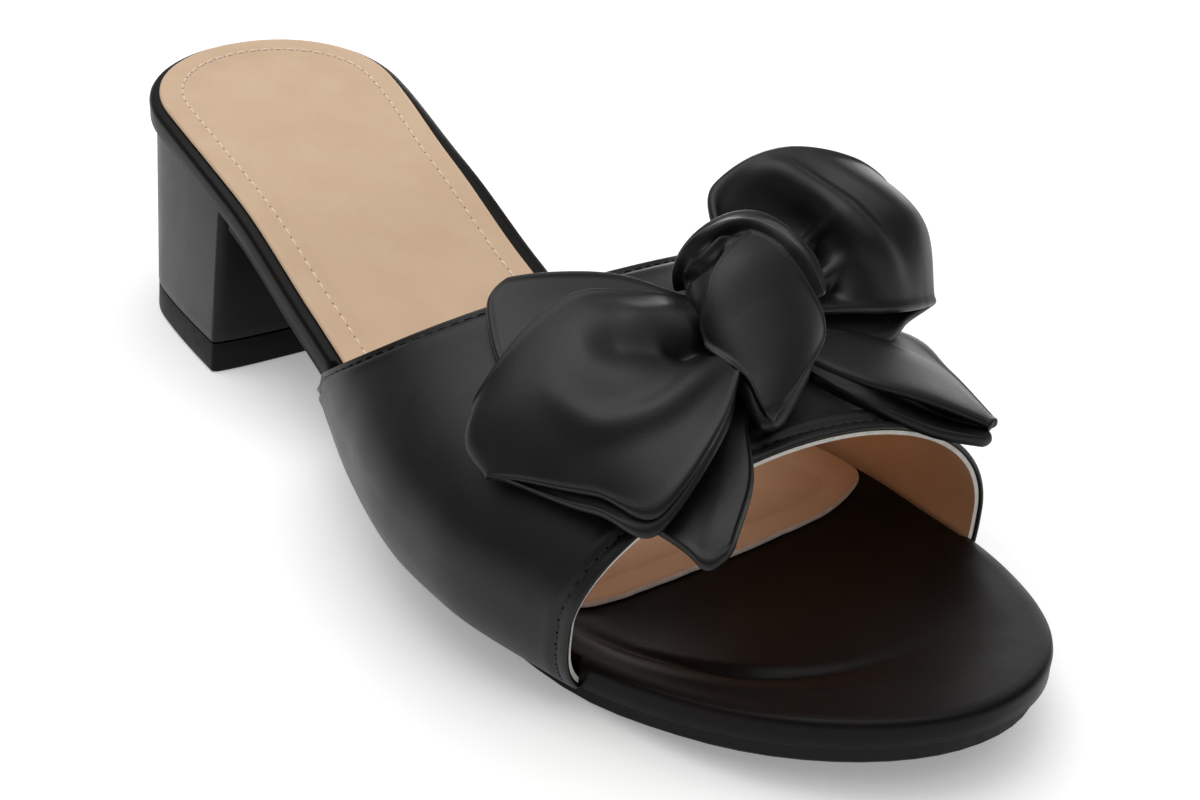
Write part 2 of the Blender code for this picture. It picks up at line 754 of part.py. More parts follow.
def heel_ring(height: float, inset: float) -> list[Vector]:
    """Return the heel's ring at a height, flared outward and forward toward the floor."""
    low = max(0.0, 1.0 - height / SEAT_LEVEL)
    stop = HEEL_LENGTH + BREAST_LEAN * low
    plan = Plan(0.0, stop, SEAT_ROUND_LENGTH, SEAT_POWER, SQUARE_END_ROUND, SQUARE_END_POWER)
    flared: list[Vector] = []
    for point in plan_ring(plan, stations(plan, HEEL_STEPS), HEEL_TOP_INSET + inset):
        reach = (SEAT_BACK_Y - point.y) / stop
        side = (point.x - CENTRE_LINE(along_of(point.y))) / (SEAT_WIDTH / 2.0)
        flare = HEEL_FLARE * low * (REAR_FLARE_SHARE + (1.0 - REAR_FLARE_SHARE) * reach)
        flared.append(Vector((point.x + side * flare, point.y, 0.0)))
    return flared


def build_top_piece() -> None:
    """Add the rubber top piece that stands on the floor under the heel block."""
    rounding = TOP_PIECE_EDGE_ROUND
    rings = [
        lift_ring(heel_ring(TOP_PIECE_THICKNESS, 0.0), lambda p: TOP_PIECE_THICKNESS),
        lift_ring(heel_ring(rounding, 0.0), lambda p: rounding),
        lift_ring(heel_ring(0.0, rounding), lambda p: 0.0),
    ]
    layered_body(
        "top_piece", rings, lambda p: TOP_PIECE_THICKNESS, lambda p: 0.0, BLACK_RUBBER
    )


def build_heel_block() -> None:
    """Add the covered heel block between the top piece and the footbed."""
    foot = TOP_PIECE_THICKNESS + GAP

    def seat_height(point: Vector) -> float:
        return below_rim(point.y, FOOTBED_THICKNESS + GAP)

    seat = lift_ring(heel_ring(SEAT_LEVEL, 0.0), seat_height)
    base = lift_ring(heel_ring(foot, 0.0), lambda p: foot)
    levels = [seat]
    for level in range(1, HEEL_LEVELS + 1):
        levels.append([high.lerp(low, level / HEEL_LEVELS) for high, low in zip(seat, base)])
    layered_body("heel_block", levels, seat_height, lambda p: foot, BLACK_HEEL)


def build_outsole() -> None:
    """Add the thin outsole from the heel's breast to the toe."""
    start = HEEL_LENGTH - HEEL_TOP_INSET + 3.0 * GAP - OUTSOLE_INSET
    plan = Plan(
        start, FOOTBED_LENGTH, SQUARE_END_ROUND, SQUARE_END_POWER, TOE_ROUND_LENGTH, TOE_POWER
    )
    places = stations(plan, ROUND_STEPS)
    top_depth = FOOTBED_THICKNESS + GAP
    low_depth = top_depth + OUTSOLE_THICKNESS
    rounding = OUTSOLE_EDGE_ROUND

    def at(depth: float) -> Callable[[Vector], float]:
        return lambda point: below_rim(point.y, depth)

    rings = [
        lift_ring(plan_ring(plan, places, OUTSOLE_INSET), at(top_depth)),
        lift_ring(plan_ring(plan, places, OUTSOLE_INSET), at(low_depth - rounding)),
        lift_ring(plan_ring(plan, places, OUTSOLE_INSET + rounding), at(low_depth)),
    ]
    layered_body("outsole", rings, at(top_depth), at(low_depth), BLACK_RUBBER)


def build_footbed() -> None:
    """Add the wrapped footbed: dished above, thinned below where the upper's margin lies."""
    rounding = FOOTBED_EDGE_ROUND
    masks = [margin_mask(point) for point in FOOTBED_EDGE]
    tuck = UPPER_WALL - UPPER_STAND_OUT + GAP
    lift = UPPER_WALL + GAP

    def top_ring(inset: float) -> list[Vector]:
        return lift_ring(plan_ring(FOOTBED_PLAN, FOOTBED_STATIONS, inset), top_height)

    def side_ring(inset: float, depth: float, raised: float) -> list[Vector]:
        flat = inset_ring(FOOTBED_EDGE, [inset + tuck * mask for mask in masks])
        return [
            Vector((point.x, point.y, below_rim(point.y, depth) + raised * mask))
            for point, mask in zip(flat, masks)
        ]

    def top_height(point: Vector) -> float:
        return below_rim(point.y, dish_depth(point))

    def base_height(point: Vector) -> float:
        return below_rim(point.y, FOOTBED_THICKNESS)

    rings = [top_ring(RIM_INSET + row.across * DISH_SLOPE_WIDTH) for row in reversed(DISH)]
    rings += [
        side_ring(0.35 * rounding, 0.35 * rounding, 0.0),
        side_ring(0.0, rounding, 0.0),
        side_ring(0.0, FOOTBED_THICKNESS, lift),
        side_ring(MARGIN_WIDTH + GAP, FOOTBED_THICKNESS, lift),
        side_ring(MARGIN_WIDTH + 2.0 * GAP, FOOTBED_THICKNESS, 0.0),
    ]
    layered_body("footbed", rings, top_height, base_height, BLACK_FOOTBED)


def build_sock() -> None:
    """Add the thin sock glued over the footbed, from the heel's back to under the toes."""
    plan = Plan(
        0.0, SOCK_LENGTH, SEAT_ROUND_LENGTH, SEAT_POWER, SOCK_FRONT_ROUND, SOCK_FRONT_POWER
    )

    def over(point: Vector) -> float:
        return below_rim(point.y, dish_depth(point) - GAP - SOCK_THICKNESS)

    def under(point: Vector) -> float:
        return below_rim(point.y, dish_depth(point) - GAP)

    places = stations(plan, ROUND_STEPS)
    flats = [
        plan_ring(plan, places, RIM_INSET + row.across * DISH_SLOPE_WIDTH)
        for row in reversed(DISH)
    ]
    rings = [lift_ring(flat, over) for flat in flats]
    rings += [lift_ring(flat, under) for flat in reversed(flats)]
    layered_body("sock", rings, over, under, TAN_SOCK)


def build_upper() -> None:
    """Add the upper: one hollow wall over the foot, its margin turned in under the footbed."""
    outer_face: list[list[Vector]] = []
    for row in range(UPPER_ALONG + 1):
        forward = row / UPPER_ALONG
        face = [upper_point(column / UPPER_AROUND, forward) for column in range(UPPER_AROUND + 1)]
        outer_face.append(face)
    normals = grid_normals(outer_face)
    inner_face: list[list[Vector]] = []
    for face, line in zip(outer_face, normals):
        inner_face.append([point - normal * UPPER_WALL for point, normal in zip(face, line)])
    outer_rows: list[list[Vector]] = []
    inner_rows: list[list[Vector]] = []
    for face, lining in zip(outer_face, inner_face):
        low = [margin_point(face[0], -1, 0.0)]
        high = [margin_point(face[0], -1, UPPER_WALL)]
        low.extend(face)
        high.extend([heel_of_wall(face[0], lining[1], -1), *lining[1:-1]])
        high.append(heel_of_wall(face[-1], lining[-2], 1))
        low.append(margin_point(face[-1], 1, 0.0))
        high.append(margin_point(face[-1], 1, UPPER_WALL))
        outer_rows.append(low)
        inner_rows.append(high)
    walled_body("upper", outer_rows, inner_rows, BLACK_UPPER)


def margin_point(foot: Vector, side: int, rise: float) -> Vector:
    """Return the inner end of the margin under the footbed, on its lower or upper face."""
    x = sole_half(foot.y, side) - side * MARGIN_WIDTH
    return Vector((x, foot.y, margin_floor(foot.y) + rise))


def heel_of_wall(foot: Vector, above: Vector, side: int) -> Vector:
    """Return where the wall's inner face meets the margin's upper face."""
    x = foot.x - side * UPPER_WALL
    return Vector((x, foot.y, min(margin_floor(foot.y) + UPPER_WALL, above.z)))


def strip_grid(
    lines: Sequence[Sequence[BowPoint]], along: int, across: int, follow: float
) -> list[list[Vector]]:
    """Return the middle surface of a ribbon as a grid, from lines that run along it."""
    strands = [curve_through([Vector(point) for point in line], along) for line in lines]
    grid: list[list[Vector]] = []
    for step in range(along):
        row = curve_through([strand[step] for strand in strands], across)
        grid.append([bow_place(shares, follow) for shares in row])
    return grid


def knot_body(name: str, swell: float, finish: Finish) -> bpy.types.Object:
    """Add the knot, or a form that lies a clearance outside it."""
    columns = {
        field: Profile([-row.back for row in KNOT], [getattr(row, field) for row in KNOT])
        for field in ("out", "half", "bottom", "top")
    }
    first, last = -KNOT[0].back, -KNOT[-1].back
    rings: list[list[Vector]] = []
    for row in range(KNOT_ALONG + 1):
        place = first + (last - first) * row / KNOT_ALONG
        y = y_of(BOW_AT) - place * RIBBON_WIDTH
        middle_x = BOW_CENTRE + columns["out"](place) * BOW_HALF_SPAN
        half = columns["half"](place) * BOW_HALF_SPAN + swell
        base = upper_top(middle_x, y) + BOW_SEAT
        bottom = base + columns["bottom"](place) * BOW_LIFT - min(swell, BOW_SEAT / 2.0)
        top = base + columns["top"](place) * BOW_LIFT + swell
        ring: list[Vector] = []
        for column in range(KNOT_AROUND):
            angle = 2.0 * math.pi * column / KNOT_AROUND
            height = (bottom + top) / 2.0 + (top - bottom) / 2.0 * math.sin(angle)
            ring.append(Vector((middle_x + half * math.cos(angle), y, height)))
        rings.append(ring)
    for ring, reach in ((rings[0], swell), (rings[-1], -swell)):
        for point in ring:
            point.y += reach
    points = [point for ring in rings for point in ring]
    faces: list[tuple[int, ...]] = []
    for level in range(KNOT_ALONG):
        for column in range(KNOT_AROUND):
            following = (column + 1) % KNOT_AROUND
            base_index = level * KNOT_AROUND
            faces.append(
                (
                    base_index + column,
                    base_index + following,
                    base_index + KNOT_AROUND + following,
                    base_index + KNOT_AROUND + column,
                )
            )
    faces.append(tuple(range(KNOT_AROUND)))
    faces.append(tuple(KNOT_ALONG * KNOT_AROUND + column for column in range(KNOT_AROUND)))
    return add_body(name, points, faces, finish)


def cut_by(body: bpy.types.Object, cutter: bpy.types.Object) -> None:
    """Cut a body by another that stays out of the model."""
    cut = body.modifiers.new("clear_of_knot", "BOOLEAN")
    cut.operation = "DIFFERENCE"
    cut.solver = "EXACT"
    cut.object = cutter


def build_bow() -> None:
    """Add the bow: two folded loops and two tails, each ending a gap from the knot."""
    knot_body("bow_knot", 0.0, BLACK_BOW)
    cutter = knot_body("knot_clearance", GAP, BLACK_BOW)
    cutter.hide_render = True
    cutter.display_type = "WIRE"
    grids = {
        "bow_loop_outer": strip_grid(list(zip(*OUTER_LOOP)), LOOP_ALONG, RIBBON_ACROSS, 1.0),
        "bow_loop_inner": strip_grid(list(zip(*INNER_LOOP)), LOOP_ALONG, RIBBON_ACROSS, 0.0),
        "bow_tail_outer": strip_grid(OUTER_TAIL, TAIL_ALONG, TAIL_ACROSS, 1.0),
        "bow_tail_inner": strip_grid(INNER_TAIL, TAIL_ALONG, TAIL_ACROSS, 0.0),
    }
    for name, grid in grids.items():
        cut_by(thick_sheet(name, grid, RIBBON_THICKNESS, BLACK_BOW), cutter)


def clear_scene() -> None:
    """Remove every object of the open file."""
    for old in list(bpy.data.objects):
        bpy.data.objects.remove(old, do_unlink=True)


def main() -> None:
    """Build the shoe from the floor up."""
    clear_scene()
    build_top_piece()
    build_heel_block()
    build_outsole()
    build_upper()
    build_footbed()
    build_sock()
    build_bow()


main()
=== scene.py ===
"""Block heel mule with a big bow, for the right foot: its looks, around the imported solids.

The toe points to -Y, the wearer's outer side is -X and +Z is up, in metres. The origin is on the
floor under the middle of the ball of the foot. The last gives every piece its form. The sole
unit, the heel, the upper and the bow are then made and dressed from the floor up, and a plain
studio is set around them.
"""

import logging
import math
from dataclasses import dataclass, field
from enum import Enum
from typing import Any, NamedTuple, Sequence

import bpy
import numpy as np
from mathutils import Matrix, Vector


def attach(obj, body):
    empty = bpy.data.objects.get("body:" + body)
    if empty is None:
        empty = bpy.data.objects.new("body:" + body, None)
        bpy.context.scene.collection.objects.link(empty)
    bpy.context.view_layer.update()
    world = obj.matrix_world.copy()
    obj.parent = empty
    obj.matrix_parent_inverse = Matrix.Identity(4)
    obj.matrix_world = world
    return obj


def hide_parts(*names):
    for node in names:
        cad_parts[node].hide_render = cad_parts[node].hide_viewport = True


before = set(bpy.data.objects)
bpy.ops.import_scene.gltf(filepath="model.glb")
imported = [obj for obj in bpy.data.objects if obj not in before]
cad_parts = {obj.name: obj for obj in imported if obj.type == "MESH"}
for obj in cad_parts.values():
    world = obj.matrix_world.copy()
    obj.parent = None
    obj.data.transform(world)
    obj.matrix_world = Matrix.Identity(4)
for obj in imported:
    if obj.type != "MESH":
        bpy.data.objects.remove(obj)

LOG = logging.getLogger("mule")
BODY = "root"
MM = 0.001


class Slot(Enum):
    """Material slots of the record."""

    RUBBER = "black_rubber"
    HEEL_COVER = "black_heel_cover"
    UPPER = "black_upper_leather"
    FOOTBED = "black_footbed_leather"
    SOCK = "tan_sock_leather"
    BOW = "black_bow_leather"


def linear(colour: str) -> tuple[float, float, float, float]:
    """Return an sRGB hex colour as linear red, green, blue and alpha.

    Args:
        colour: Six hex digits with a leading hash.

    Returns:
        The linear colour with alpha 1.
    """
    channels = [int(colour[place : place + 2], 16) / 255.0 for place in (1, 3, 5)]
    straight = [c / 12.92 if c <= 0.04045 else ((c + 0.055) / 1.055) ** 2.4 for c in channels]
    return (straight[0], straight[1], straight[2], 1.0)


def add_node(
    tree: bpy.types.NodeTree, kind: str, settings: dict[str, Any], inputs: dict[Any, Any]
) -> bpy.types.Node:
    """Add one shader node with its settings and its inputs.

    Args:
        tree: The material's or world's node tree.
        kind: Blender's name of the node.
        settings: Properties of the node by name.
        inputs: Values, or sockets to link from, by the input's name or number.

    Returns:
        The new node.
    """
    node = tree.nodes.new(kind)
    for name, value in settings.items():
        setattr(node, name, value)
    for name, value in inputs.items():
        if isinstance(value, bpy.types.NodeSocket):
            tree.links.new(value, node.inputs[name])
        else:
            node.inputs[name].default_value = value
    return node


def ranged(
    tree: bpy.types.NodeTree,
    value: bpy.types.NodeSocket,
    span: tuple[float, float],
    levels: tuple[float, float],
) -> bpy.types.NodeSocket:
    """Return a value mapped from a span to two levels, held past both ends.

    Args:
        tree: The material's or world's node tree.
        value: The socket to map.
        span: Where the change starts and ends.
        levels: The result at the span's start and end.

    Returns:
        The mapped value's socket.
    """
    names = ("From Min", "From Max", "To Min", "To Max")
    inputs = {"Value": value, **dict(zip(names, span + levels))}
    return add_node(tree, "ShaderNodeMapRange", {}, inputs).outputs["Result"]


@dataclass(frozen=True)
class Finish:
    """A surface as a shoemaker would order it, with its grain in real millimetres.

    The grain is a field of rounded cells with hair-fine valleys, the mottle a slow change of
    tone and gloss over the hide, and the creases a soft, stretched wrinkling.
    """

    name: str
    colour: str
    worn_colour: str
    roughness: float
    roughness_change: float
    grain_size: float
    grain_depth: float
    mottle_size: float
    mottle_share: float
    crease_size: float
    crease_depth: float
    specular: float = 0.5
    glow: float = 0.0

    def material(self) -> bpy.types.Material:
        """Return the finish as a node material, made once.

        Returns:
            The material.
        """
        known = bpy.data.materials.get(self.name)
        if known:
            return known
        made = bpy.data.materials.new(self.name)
        made.use_nodes = True
        tree = made.node_tree
        tree.nodes.clear()
        place = add_node(tree, "ShaderNodeTexCoord", {}, {}).outputs["Object"]
        patterns = (
            ("ShaderNodeTexNoise", {}, self.mottle_size, {"Detail": 4.0, "Roughness": 0.6}),
            ("ShaderNodeTexVoronoi", {"feature": "SMOOTH_F1"}, self.grain_size, {"Smoothness": 0.6}),
            ("ShaderNodeTexNoise", {}, self.crease_size, {"Detail": 3.0, "Distortion": 0.6}),
        )
        mottle, grain, creases = (
            add_node(tree, kind, settings, {"Vector": place, "Scale": 1.0 / (size * MM), **more}).outputs[0]
            for kind, settings, size, more in patterns
        )
        worn = ranged(tree, mottle, (0.35, 0.7), (0.0, self.mottle_share))
        colours = {0: worn, 6: linear(self.colour), 7: linear(self.worn_colour)}
        tone = add_node(tree, "ShaderNodeMix", {"data_type": "RGBA"}, colours).outputs[2]
        smoothest, roughest = self.roughness - self.roughness_change, self.roughness + self.roughness_change
        gloss = ranged(tree, mottle, (0.3, 0.7), (smoothest, roughest))
        inputs: dict[Any, Any] = {}
        for height, depth in ((creases, self.crease_depth), (grain, self.grain_depth)):
            inputs.update({"Height": height, "Distance": depth * MM, "Strength": 1.0})
            inputs["Normal"] = add_node(tree, "ShaderNodeBump", {}, inputs).outputs["Normal"]
        shader = add_node(
            tree,
            "ShaderNodeBsdfPrincipled",
            {},
            {
                "Base Color": tone,
                "Roughness": gloss,
                "Specular IOR Level": self.specular,
                "Emission Color": linear("#ffffff"),
                "Emission Strength": self.glow,
                "Normal": inputs["Normal"],
            },
        )
        add_node(tree, "ShaderNodeOutputMaterial", {}, {"Surface": shader.outputs["BSDF"]})
        return made


# Upper: smooth coated leather, satin, so that it takes broad soft lights and shows a faint grain
UPPER_LEATHER = Finish(
    "smooth_coated_leather_upper", "#101010", "#161614", 0.42, 0.04, 0.55, 0.012, 9.0, 0.5, 7.0, 0.03,
    specular=0.32,
)
# Bow: the same leather split thinner, softer, with more small wrinkles
BOW_LEATHER = Finish(
    "soft_coated_leather_ribbon", "#0e0e0e", "#141413", 0.42, 0.04, 0.55, 0.012, 11.0, 0.5, 8.0, 0.05,
    specular=0.32,
)
# Footbed: lining leather, matter and a little browner than the upper
FOOTBED_LEATHER = Finish(
    "smooth_lining_leather_footbed", "#0b0908", "#120d0b", 0.44, 0.05, 0.70, 0.010, 14.0, 0.6, 7.0, 0.03,
    specular=0.12,
)
# Heel: the upper's leather stretched tight round the block, so the grain is flatter
HEEL_LEATHER = Finish(
    "stretched_coated_leather_heel", "#0f0f0e", "#151514", 0.40, 0.04, 0.60, 0.010, 12.0, 0.4, 9.0, 0.03,
    specular=0.30,
)
# Sock: pigskin-like tan lining, matte, with a fine even grain
SOCK_LEATHER = Finish(
    "matte_tan_lining_leather", "#d6b798", "#dcc0a2", 0.62, 0.05, 0.60, 0.020, 10.0, 0.8, 6.0, 0.03,
    specular=0.35,
)
# Lining inside the upper: the same tan leather as the sock, coloured brighter and more orange than it as
# painted light for the light that reaches inside the band, and lighter in slow random patches
LINING_LEATHER_PAINTED_LIGHT = Finish(
    "tan_lining_leather_upper_painted_light", "#dcae86", "#e4ba94", 0.62, 0.05, 0.60, 0.020, 10.0, 0.8, 6.0, 0.04,
    specular=0.35,
)
# Cut edges of the lining: the pale fibrous backing, dull and a little fuzzy
BACKING_EDGE = Finish(
    "pale_fibre_backing", "#dcd8d0", "#efece6", 0.90, 0.05, 0.35, 0.060, 2.0, 1.0, 1.2, 0.06,
    specular=0.2,
)
# Threads: spun polyester, one black and one in the sock's tone
BLACK_THREAD = Finish(
    "spun_polyester_thread_black", "#151515", "#262625", 0.62, 0.05, 0.20, 0.030, 2.0, 0.6, 0.5, 0.04
)
PALE_THREAD = Finish(
    "spun_polyester_thread_pale", "#f2e0cc", "#f8eadb", 0.70, 0.05, 0.20, 0.030, 2.0, 0.6, 0.5, 0.04
)
# Needle holes beside the stitches: small dark discs of painted shade that stand for the shade in the pits,
# black in the upper and brown in the sock
UPPER_HOLE_PAINTED_SHADE = Finish(
    "needle_hole_painted_shade_black", "#040404", "#070707", 0.95, 0.03, 0.20, 0.010, 2.0, 0.5, 1.0, 0.01, specular=0.05
)
SOCK_HOLE_PAINTED_SHADE = Finish(
    "needle_hole_painted_shade_brown", "#8c6d55", "#987a60", 0.95, 0.03, 0.20, 0.010, 2.0, 0.5, 1.0, 0.01, specular=0.05
)
# Outsole and top piece: moulded rubber with a fine eroded texture
RUBBER = Finish(
    "moulded_rubber", "#0b0b0b", "#121211", 0.60, 0.06, 0.40, 0.020, 5.0, 0.6, 2.0, 0.01, specular=0.20
)
# Floor: a matte white light table, faintly lit through, so that shadows stay pale
LIGHT_TABLE = Finish(
    "matte_white_light_table", "#f6f6f5", "#fafafa", 0.90, 0.02, 1.00, 0.005, 60.0, 0.5, 30.0, 0.01,
    specular=0.1, glow=0.28,
)


class Profile:
    """A smooth curve through a short table that never overshoots between its rows."""

    def __init__(self, rows: Sequence[tuple[float, float]]) -> None:
        """Fit the curve.

        Args:
            rows: Places, rising, each with its value.
        """
        self.places = np.array([row[0] for row in rows], dtype=float)
        self.values = np.array([row[1] for row in rows], dtype=float)
        slopes = np.diff(self.values) / np.diff(self.places)
        left, right = slopes[:-1], slopes[1:]
        total = np.where(left * right > 0.0, left + right, 1.0)
        inner = np.where(left * right > 0.0, 2.0 * left * right / total, 0.0)
        self.tangents = np.concatenate([slopes[:1], inner, slopes[-1:]])

    def __call__(self, place: Any) -> Any:
        """Return the value at each place, held level past either end.

        Args:
            place: One place or an array of them.

        Returns:
            The value or values.
        """
        held = np.clip(place, self.places[0], self.places[-1])
        row = np.clip(np.searchsorted(self.places, held, side="right") - 1, 0, len(self.places) - 2)
        width = self.places[row + 1] - self.places[row]
        t = (held - self.places[row]) / width
        rest = 1.0 - t
        return (
            self.values[row] * rest * rest * (1.0 + 2.0 * t)
            + self.values[row + 1] * t * t * (3.0 - 2.0 * t)
            + self.tangents[row] * width * t * rest * rest
            - self.tangents[row + 1] * width * t * t * rest
        )


def eased(share: Any) -> Any:
    """Return a share from 0 to 1 with level ends."""
    held = np.clip(share, 0.0, 1.0)
    return held * held * (3.0 - 2.0 * held)


def curve_at(points: np.ndarray, places: np.ndarray) -> np.ndarray:
    """Return points of a smooth curve through a few given points, at shares of its length.

    Args:
        points: The given points, one a row.
        places: Shares from 0 at the first point to 1 at the last.

    Returns:
        The curve's points, one a share.
    """
    padded = np.concatenate([[2.0 * points[0] - points[1]], points, [2.0 * points[-1] - points[-2]]])
    spots = np.clip(places, 0.0, 1.0) * (len(points) - 1.0)
    span = np.minimum(spots.astype(int), len(points) - 2)
    t = (spots - span).reshape((-1,) + (1,) * (points.ndim - 1))
    a, b, c, d = (padded[span + step] for step in range(4))
    bend, twist = a * 2.0 - b * 5.0 + c * 4.0 - d, b * 3.0 - a - c * 3.0 + d
    return 0.5 * (b * 2.0 + (c - a) * t + bend * t**2 + twist * t**3)


def curve_through(points: Sequence[tuple[float, float]], count: int) -> np.ndarray:
    """Return evenly counted points of the same curve through a path."""
    return curve_at(np.array(points), np.linspace(0.0, 1.0, count))


def grid_normals(grid: np.ndarray) -> np.ndarray:
    """Return the unit normals of a grid of points.

    Args:
        grid: Points in rows and columns.

    Returns:
        One normal a point, in the same layout.
    """
    down = np.gradient(grid, axis=0)
    across = np.gradient(grid, axis=1)
    normals = np.cross(down, across)
    lengths = np.linalg.norm(normals, axis=2, keepdims=True)
    return normals / np.maximum(lengths, 1e-12)


def quads(numbers: np.ndarray, flipped: bool = False) -> list[tuple[int, ...]]:
    """Return the faces between the rows and columns of a grid of point numbers.

    Args:
        numbers: Point numbers, laid out as the grid.
        flipped: True to turn the faces over.

    Returns:
        The faces.
    """
    corners = (numbers[:-1, :-1], numbers[1:, :-1], numbers[1:, 1:], numbers[:-1, 1:])
    faces = np.stack([corner.ravel() for corner in corners], axis=1)
    if flipped:
        faces = faces[:, ::-1]
    return [tuple(int(number) for number in face) for face in faces]


def add_piece(
    name: str,
    points: np.ndarray,
    faces: Sequence[Sequence[int]],
    finishes: Sequence[Finish],
    finish_of: Sequence[int] | None = None,
    sharp_angle: float = 50.0,
) -> bpy.types.Object:
    """Add a mesh piece that rides on the shoe and takes its finish from a slot.

    Args:
        name: The piece's name.
        points: Its points, one a row.
        faces: Point numbers of each face.
        finishes: The finishes it wears.
        finish_of: For each face the number of its finish, or None for the first throughout.
        sharp_angle: Edges that turn by more degrees than this stay crisp.

    Returns:
        The new object.
    """
    mesh = bpy.data.meshes.new(name)
    mesh.from_pydata([tuple(point) for point in points], [], list(faces))
    mesh.validate()
    for finish in finishes:
        mesh.materials.append(finish.material())
    if finish_of is not None:
        mesh.polygons.foreach_set("material_index", list(finish_of))
    mesh.shade_smooth()
    mesh.set_sharp_from_angle(angle=math.radians(sharp_angle))
    mesh.update()
    piece = bpy.data.objects.new(name, mesh)
    bpy.context.scene.collection.objects.link(piece)
    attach(piece, BODY)
    LOG.info("piece %s: %d faces", name, len(mesh.polygons))
    return piece


def add_pillow(
    name: str, over: np.ndarray, under: np.ndarray, finish: Finish
) -> bpy.types.Object:
    """Add a sheet with two faces that share their border.

    Args:
        name: The piece's name.
        over: The upper face as a grid of points.
        under: The lower face as a grid of the same size.
        finish: Its finish.

    Returns:
        The new object.
    """
    rows, columns = over.shape[:2]
    first = np.arange(rows * columns).reshape(rows, columns)
    second = first.copy()
    inner = (rows - 2) * (columns - 2)
    second[1:-1, 1:-1] = rows * columns + np.arange(inner).reshape(rows - 2, columns - 2)
    points = np.concatenate([over.reshape(-1, 3), under[1:-1, 1:-1].reshape(-1, 3)])
    return add_piece(name, points, quads(first) + quads(second, True), [finish], None, 70.0)


def rounded_places(length: float, radius: float, inner: int, rounding: int = 5) -> np.ndarray:
    """Return shares across a sheet, crowded where its two edges are rounded.

    Args:
        length: The sheet's size that way.
        radius: Width of the rounded edge.
        inner: Steps between the two edges.
        rounding: Steps in each rounded edge.

    Returns:
        Shares from 0 to 1.
    """
    start = radius / length * (1.0 - np.cos(np.linspace(0.0, math.pi / 2.0, rounding + 1)))
    middle = np.linspace(start[-1], 1.0 - start[-1], inner + 1)
    return np.concatenate([start[:-1], middle, (1.0 - start[:-1])[::-1]])


def edge_share(places: np.ndarray, length: float, radius: float) -> np.ndarray:
    """Return the thickness share of a sheet whose two edges are rounded."""
    near = np.minimum(places, 1.0 - places) * length
    return np.sqrt(np.clip(1.0 - (1.0 - np.minimum(near / radius, 1.0)) ** 2, 0.0, 1.0))


@dataclass(frozen=True)
class Stroke:
    """A fold or crease drawn on a piece's flat layout, raised or sunk along a path."""

    path: tuple[tuple[float, float], ...]
    width: float
    height: float
    fade: float = 0.35

    def lift(self, spots: np.ndarray) -> np.ndarray:
        """Return how far the stroke raises each spot.

        Args:
            spots: Places on the flat layout in metres, two numbers each.

        Returns:
            The rise of each spot in metres.
        """
        line = curve_through(self.path, 6 * len(self.path))
        starts, steps = line[:-1], np.diff(line, axis=0)
        lengths = np.linalg.norm(steps, axis=1)
        run = np.concatenate([[0.0], np.cumsum(lengths)[:-1]])
        gap = spots[..., None, :] - starts
        share = np.clip((gap * steps).sum(-1) / np.maximum(lengths**2, 1e-18), 0.0, 1.0)
        away = np.linalg.norm(gap - share[..., None] * steps, axis=-1)
        nearest = away.argmin(axis=-1)
        distance = np.take_along_axis(away, nearest[..., None], -1)[..., 0]
        along = run[nearest] + np.take_along_axis(share, nearest[..., None], -1)[..., 0] * lengths[nearest]
        whole = lengths.sum()
        ends = np.minimum(along, whole - along) / max(self.fade * whole, 1e-9)
        return self.height * np.exp(-((distance / self.width) ** 2)) * eased(ends + 0.12)


@dataclass(frozen=True)
class Patch:
    """A layer of leather laid over a piece inside a closed outline, with a rolled edge."""

    outline: tuple[tuple[float, float], ...]
    height: float
    step: float
    bead: float
    bead_width: float

    def lift(self, spots: np.ndarray) -> np.ndarray:
        """Return how far the layer raises each spot.

        Args:
            spots: Places on the flat layout in metres, two numbers each.

        Returns:
            The rise of each spot in metres.
        """
        ring = curve_through(self.outline + self.outline[:1], 5 * len(self.outline))
        starts, steps = ring[:-1], np.diff(ring, axis=0)
        gap = spots[..., None, :] - starts
        square = np.maximum((steps**2).sum(-1), 1e-18)
        share = np.clip((gap * steps).sum(-1) / square, 0.0, 1.0)
        distance = np.linalg.norm(gap - share[..., None] * steps, axis=-1).min(axis=-1)
        above = spots[..., None, 1] < starts[:, 1]
        over = spots[..., None, 1] < ring[1:, 1]
        slope = np.where(np.abs(steps[:, 1]) < 1e-12, 1e-12, steps[:, 1])
        crossing = starts[:, 0] + (spots[..., None, 1] - starts[:, 1]) / slope * steps[:, 0]
        inside = ((above != over) & (spots[..., None, 0] < crossing)).sum(-1) % 2 == 1
        depth = np.where(inside, distance, -distance)
        body = self.height * eased(depth / self.step + 0.5)
        roll = self.bead * np.exp(-(((depth - self.bead_width) / self.bead_width) ** 2))
        return body + roll


class Plan(NamedTuple):
    """A closed outline cut from the footbed's: its two ends and how each is rounded."""

    start: float
    stop: float
    start_round: float
    start_power: float
    stop_round: float
    stop_power: float


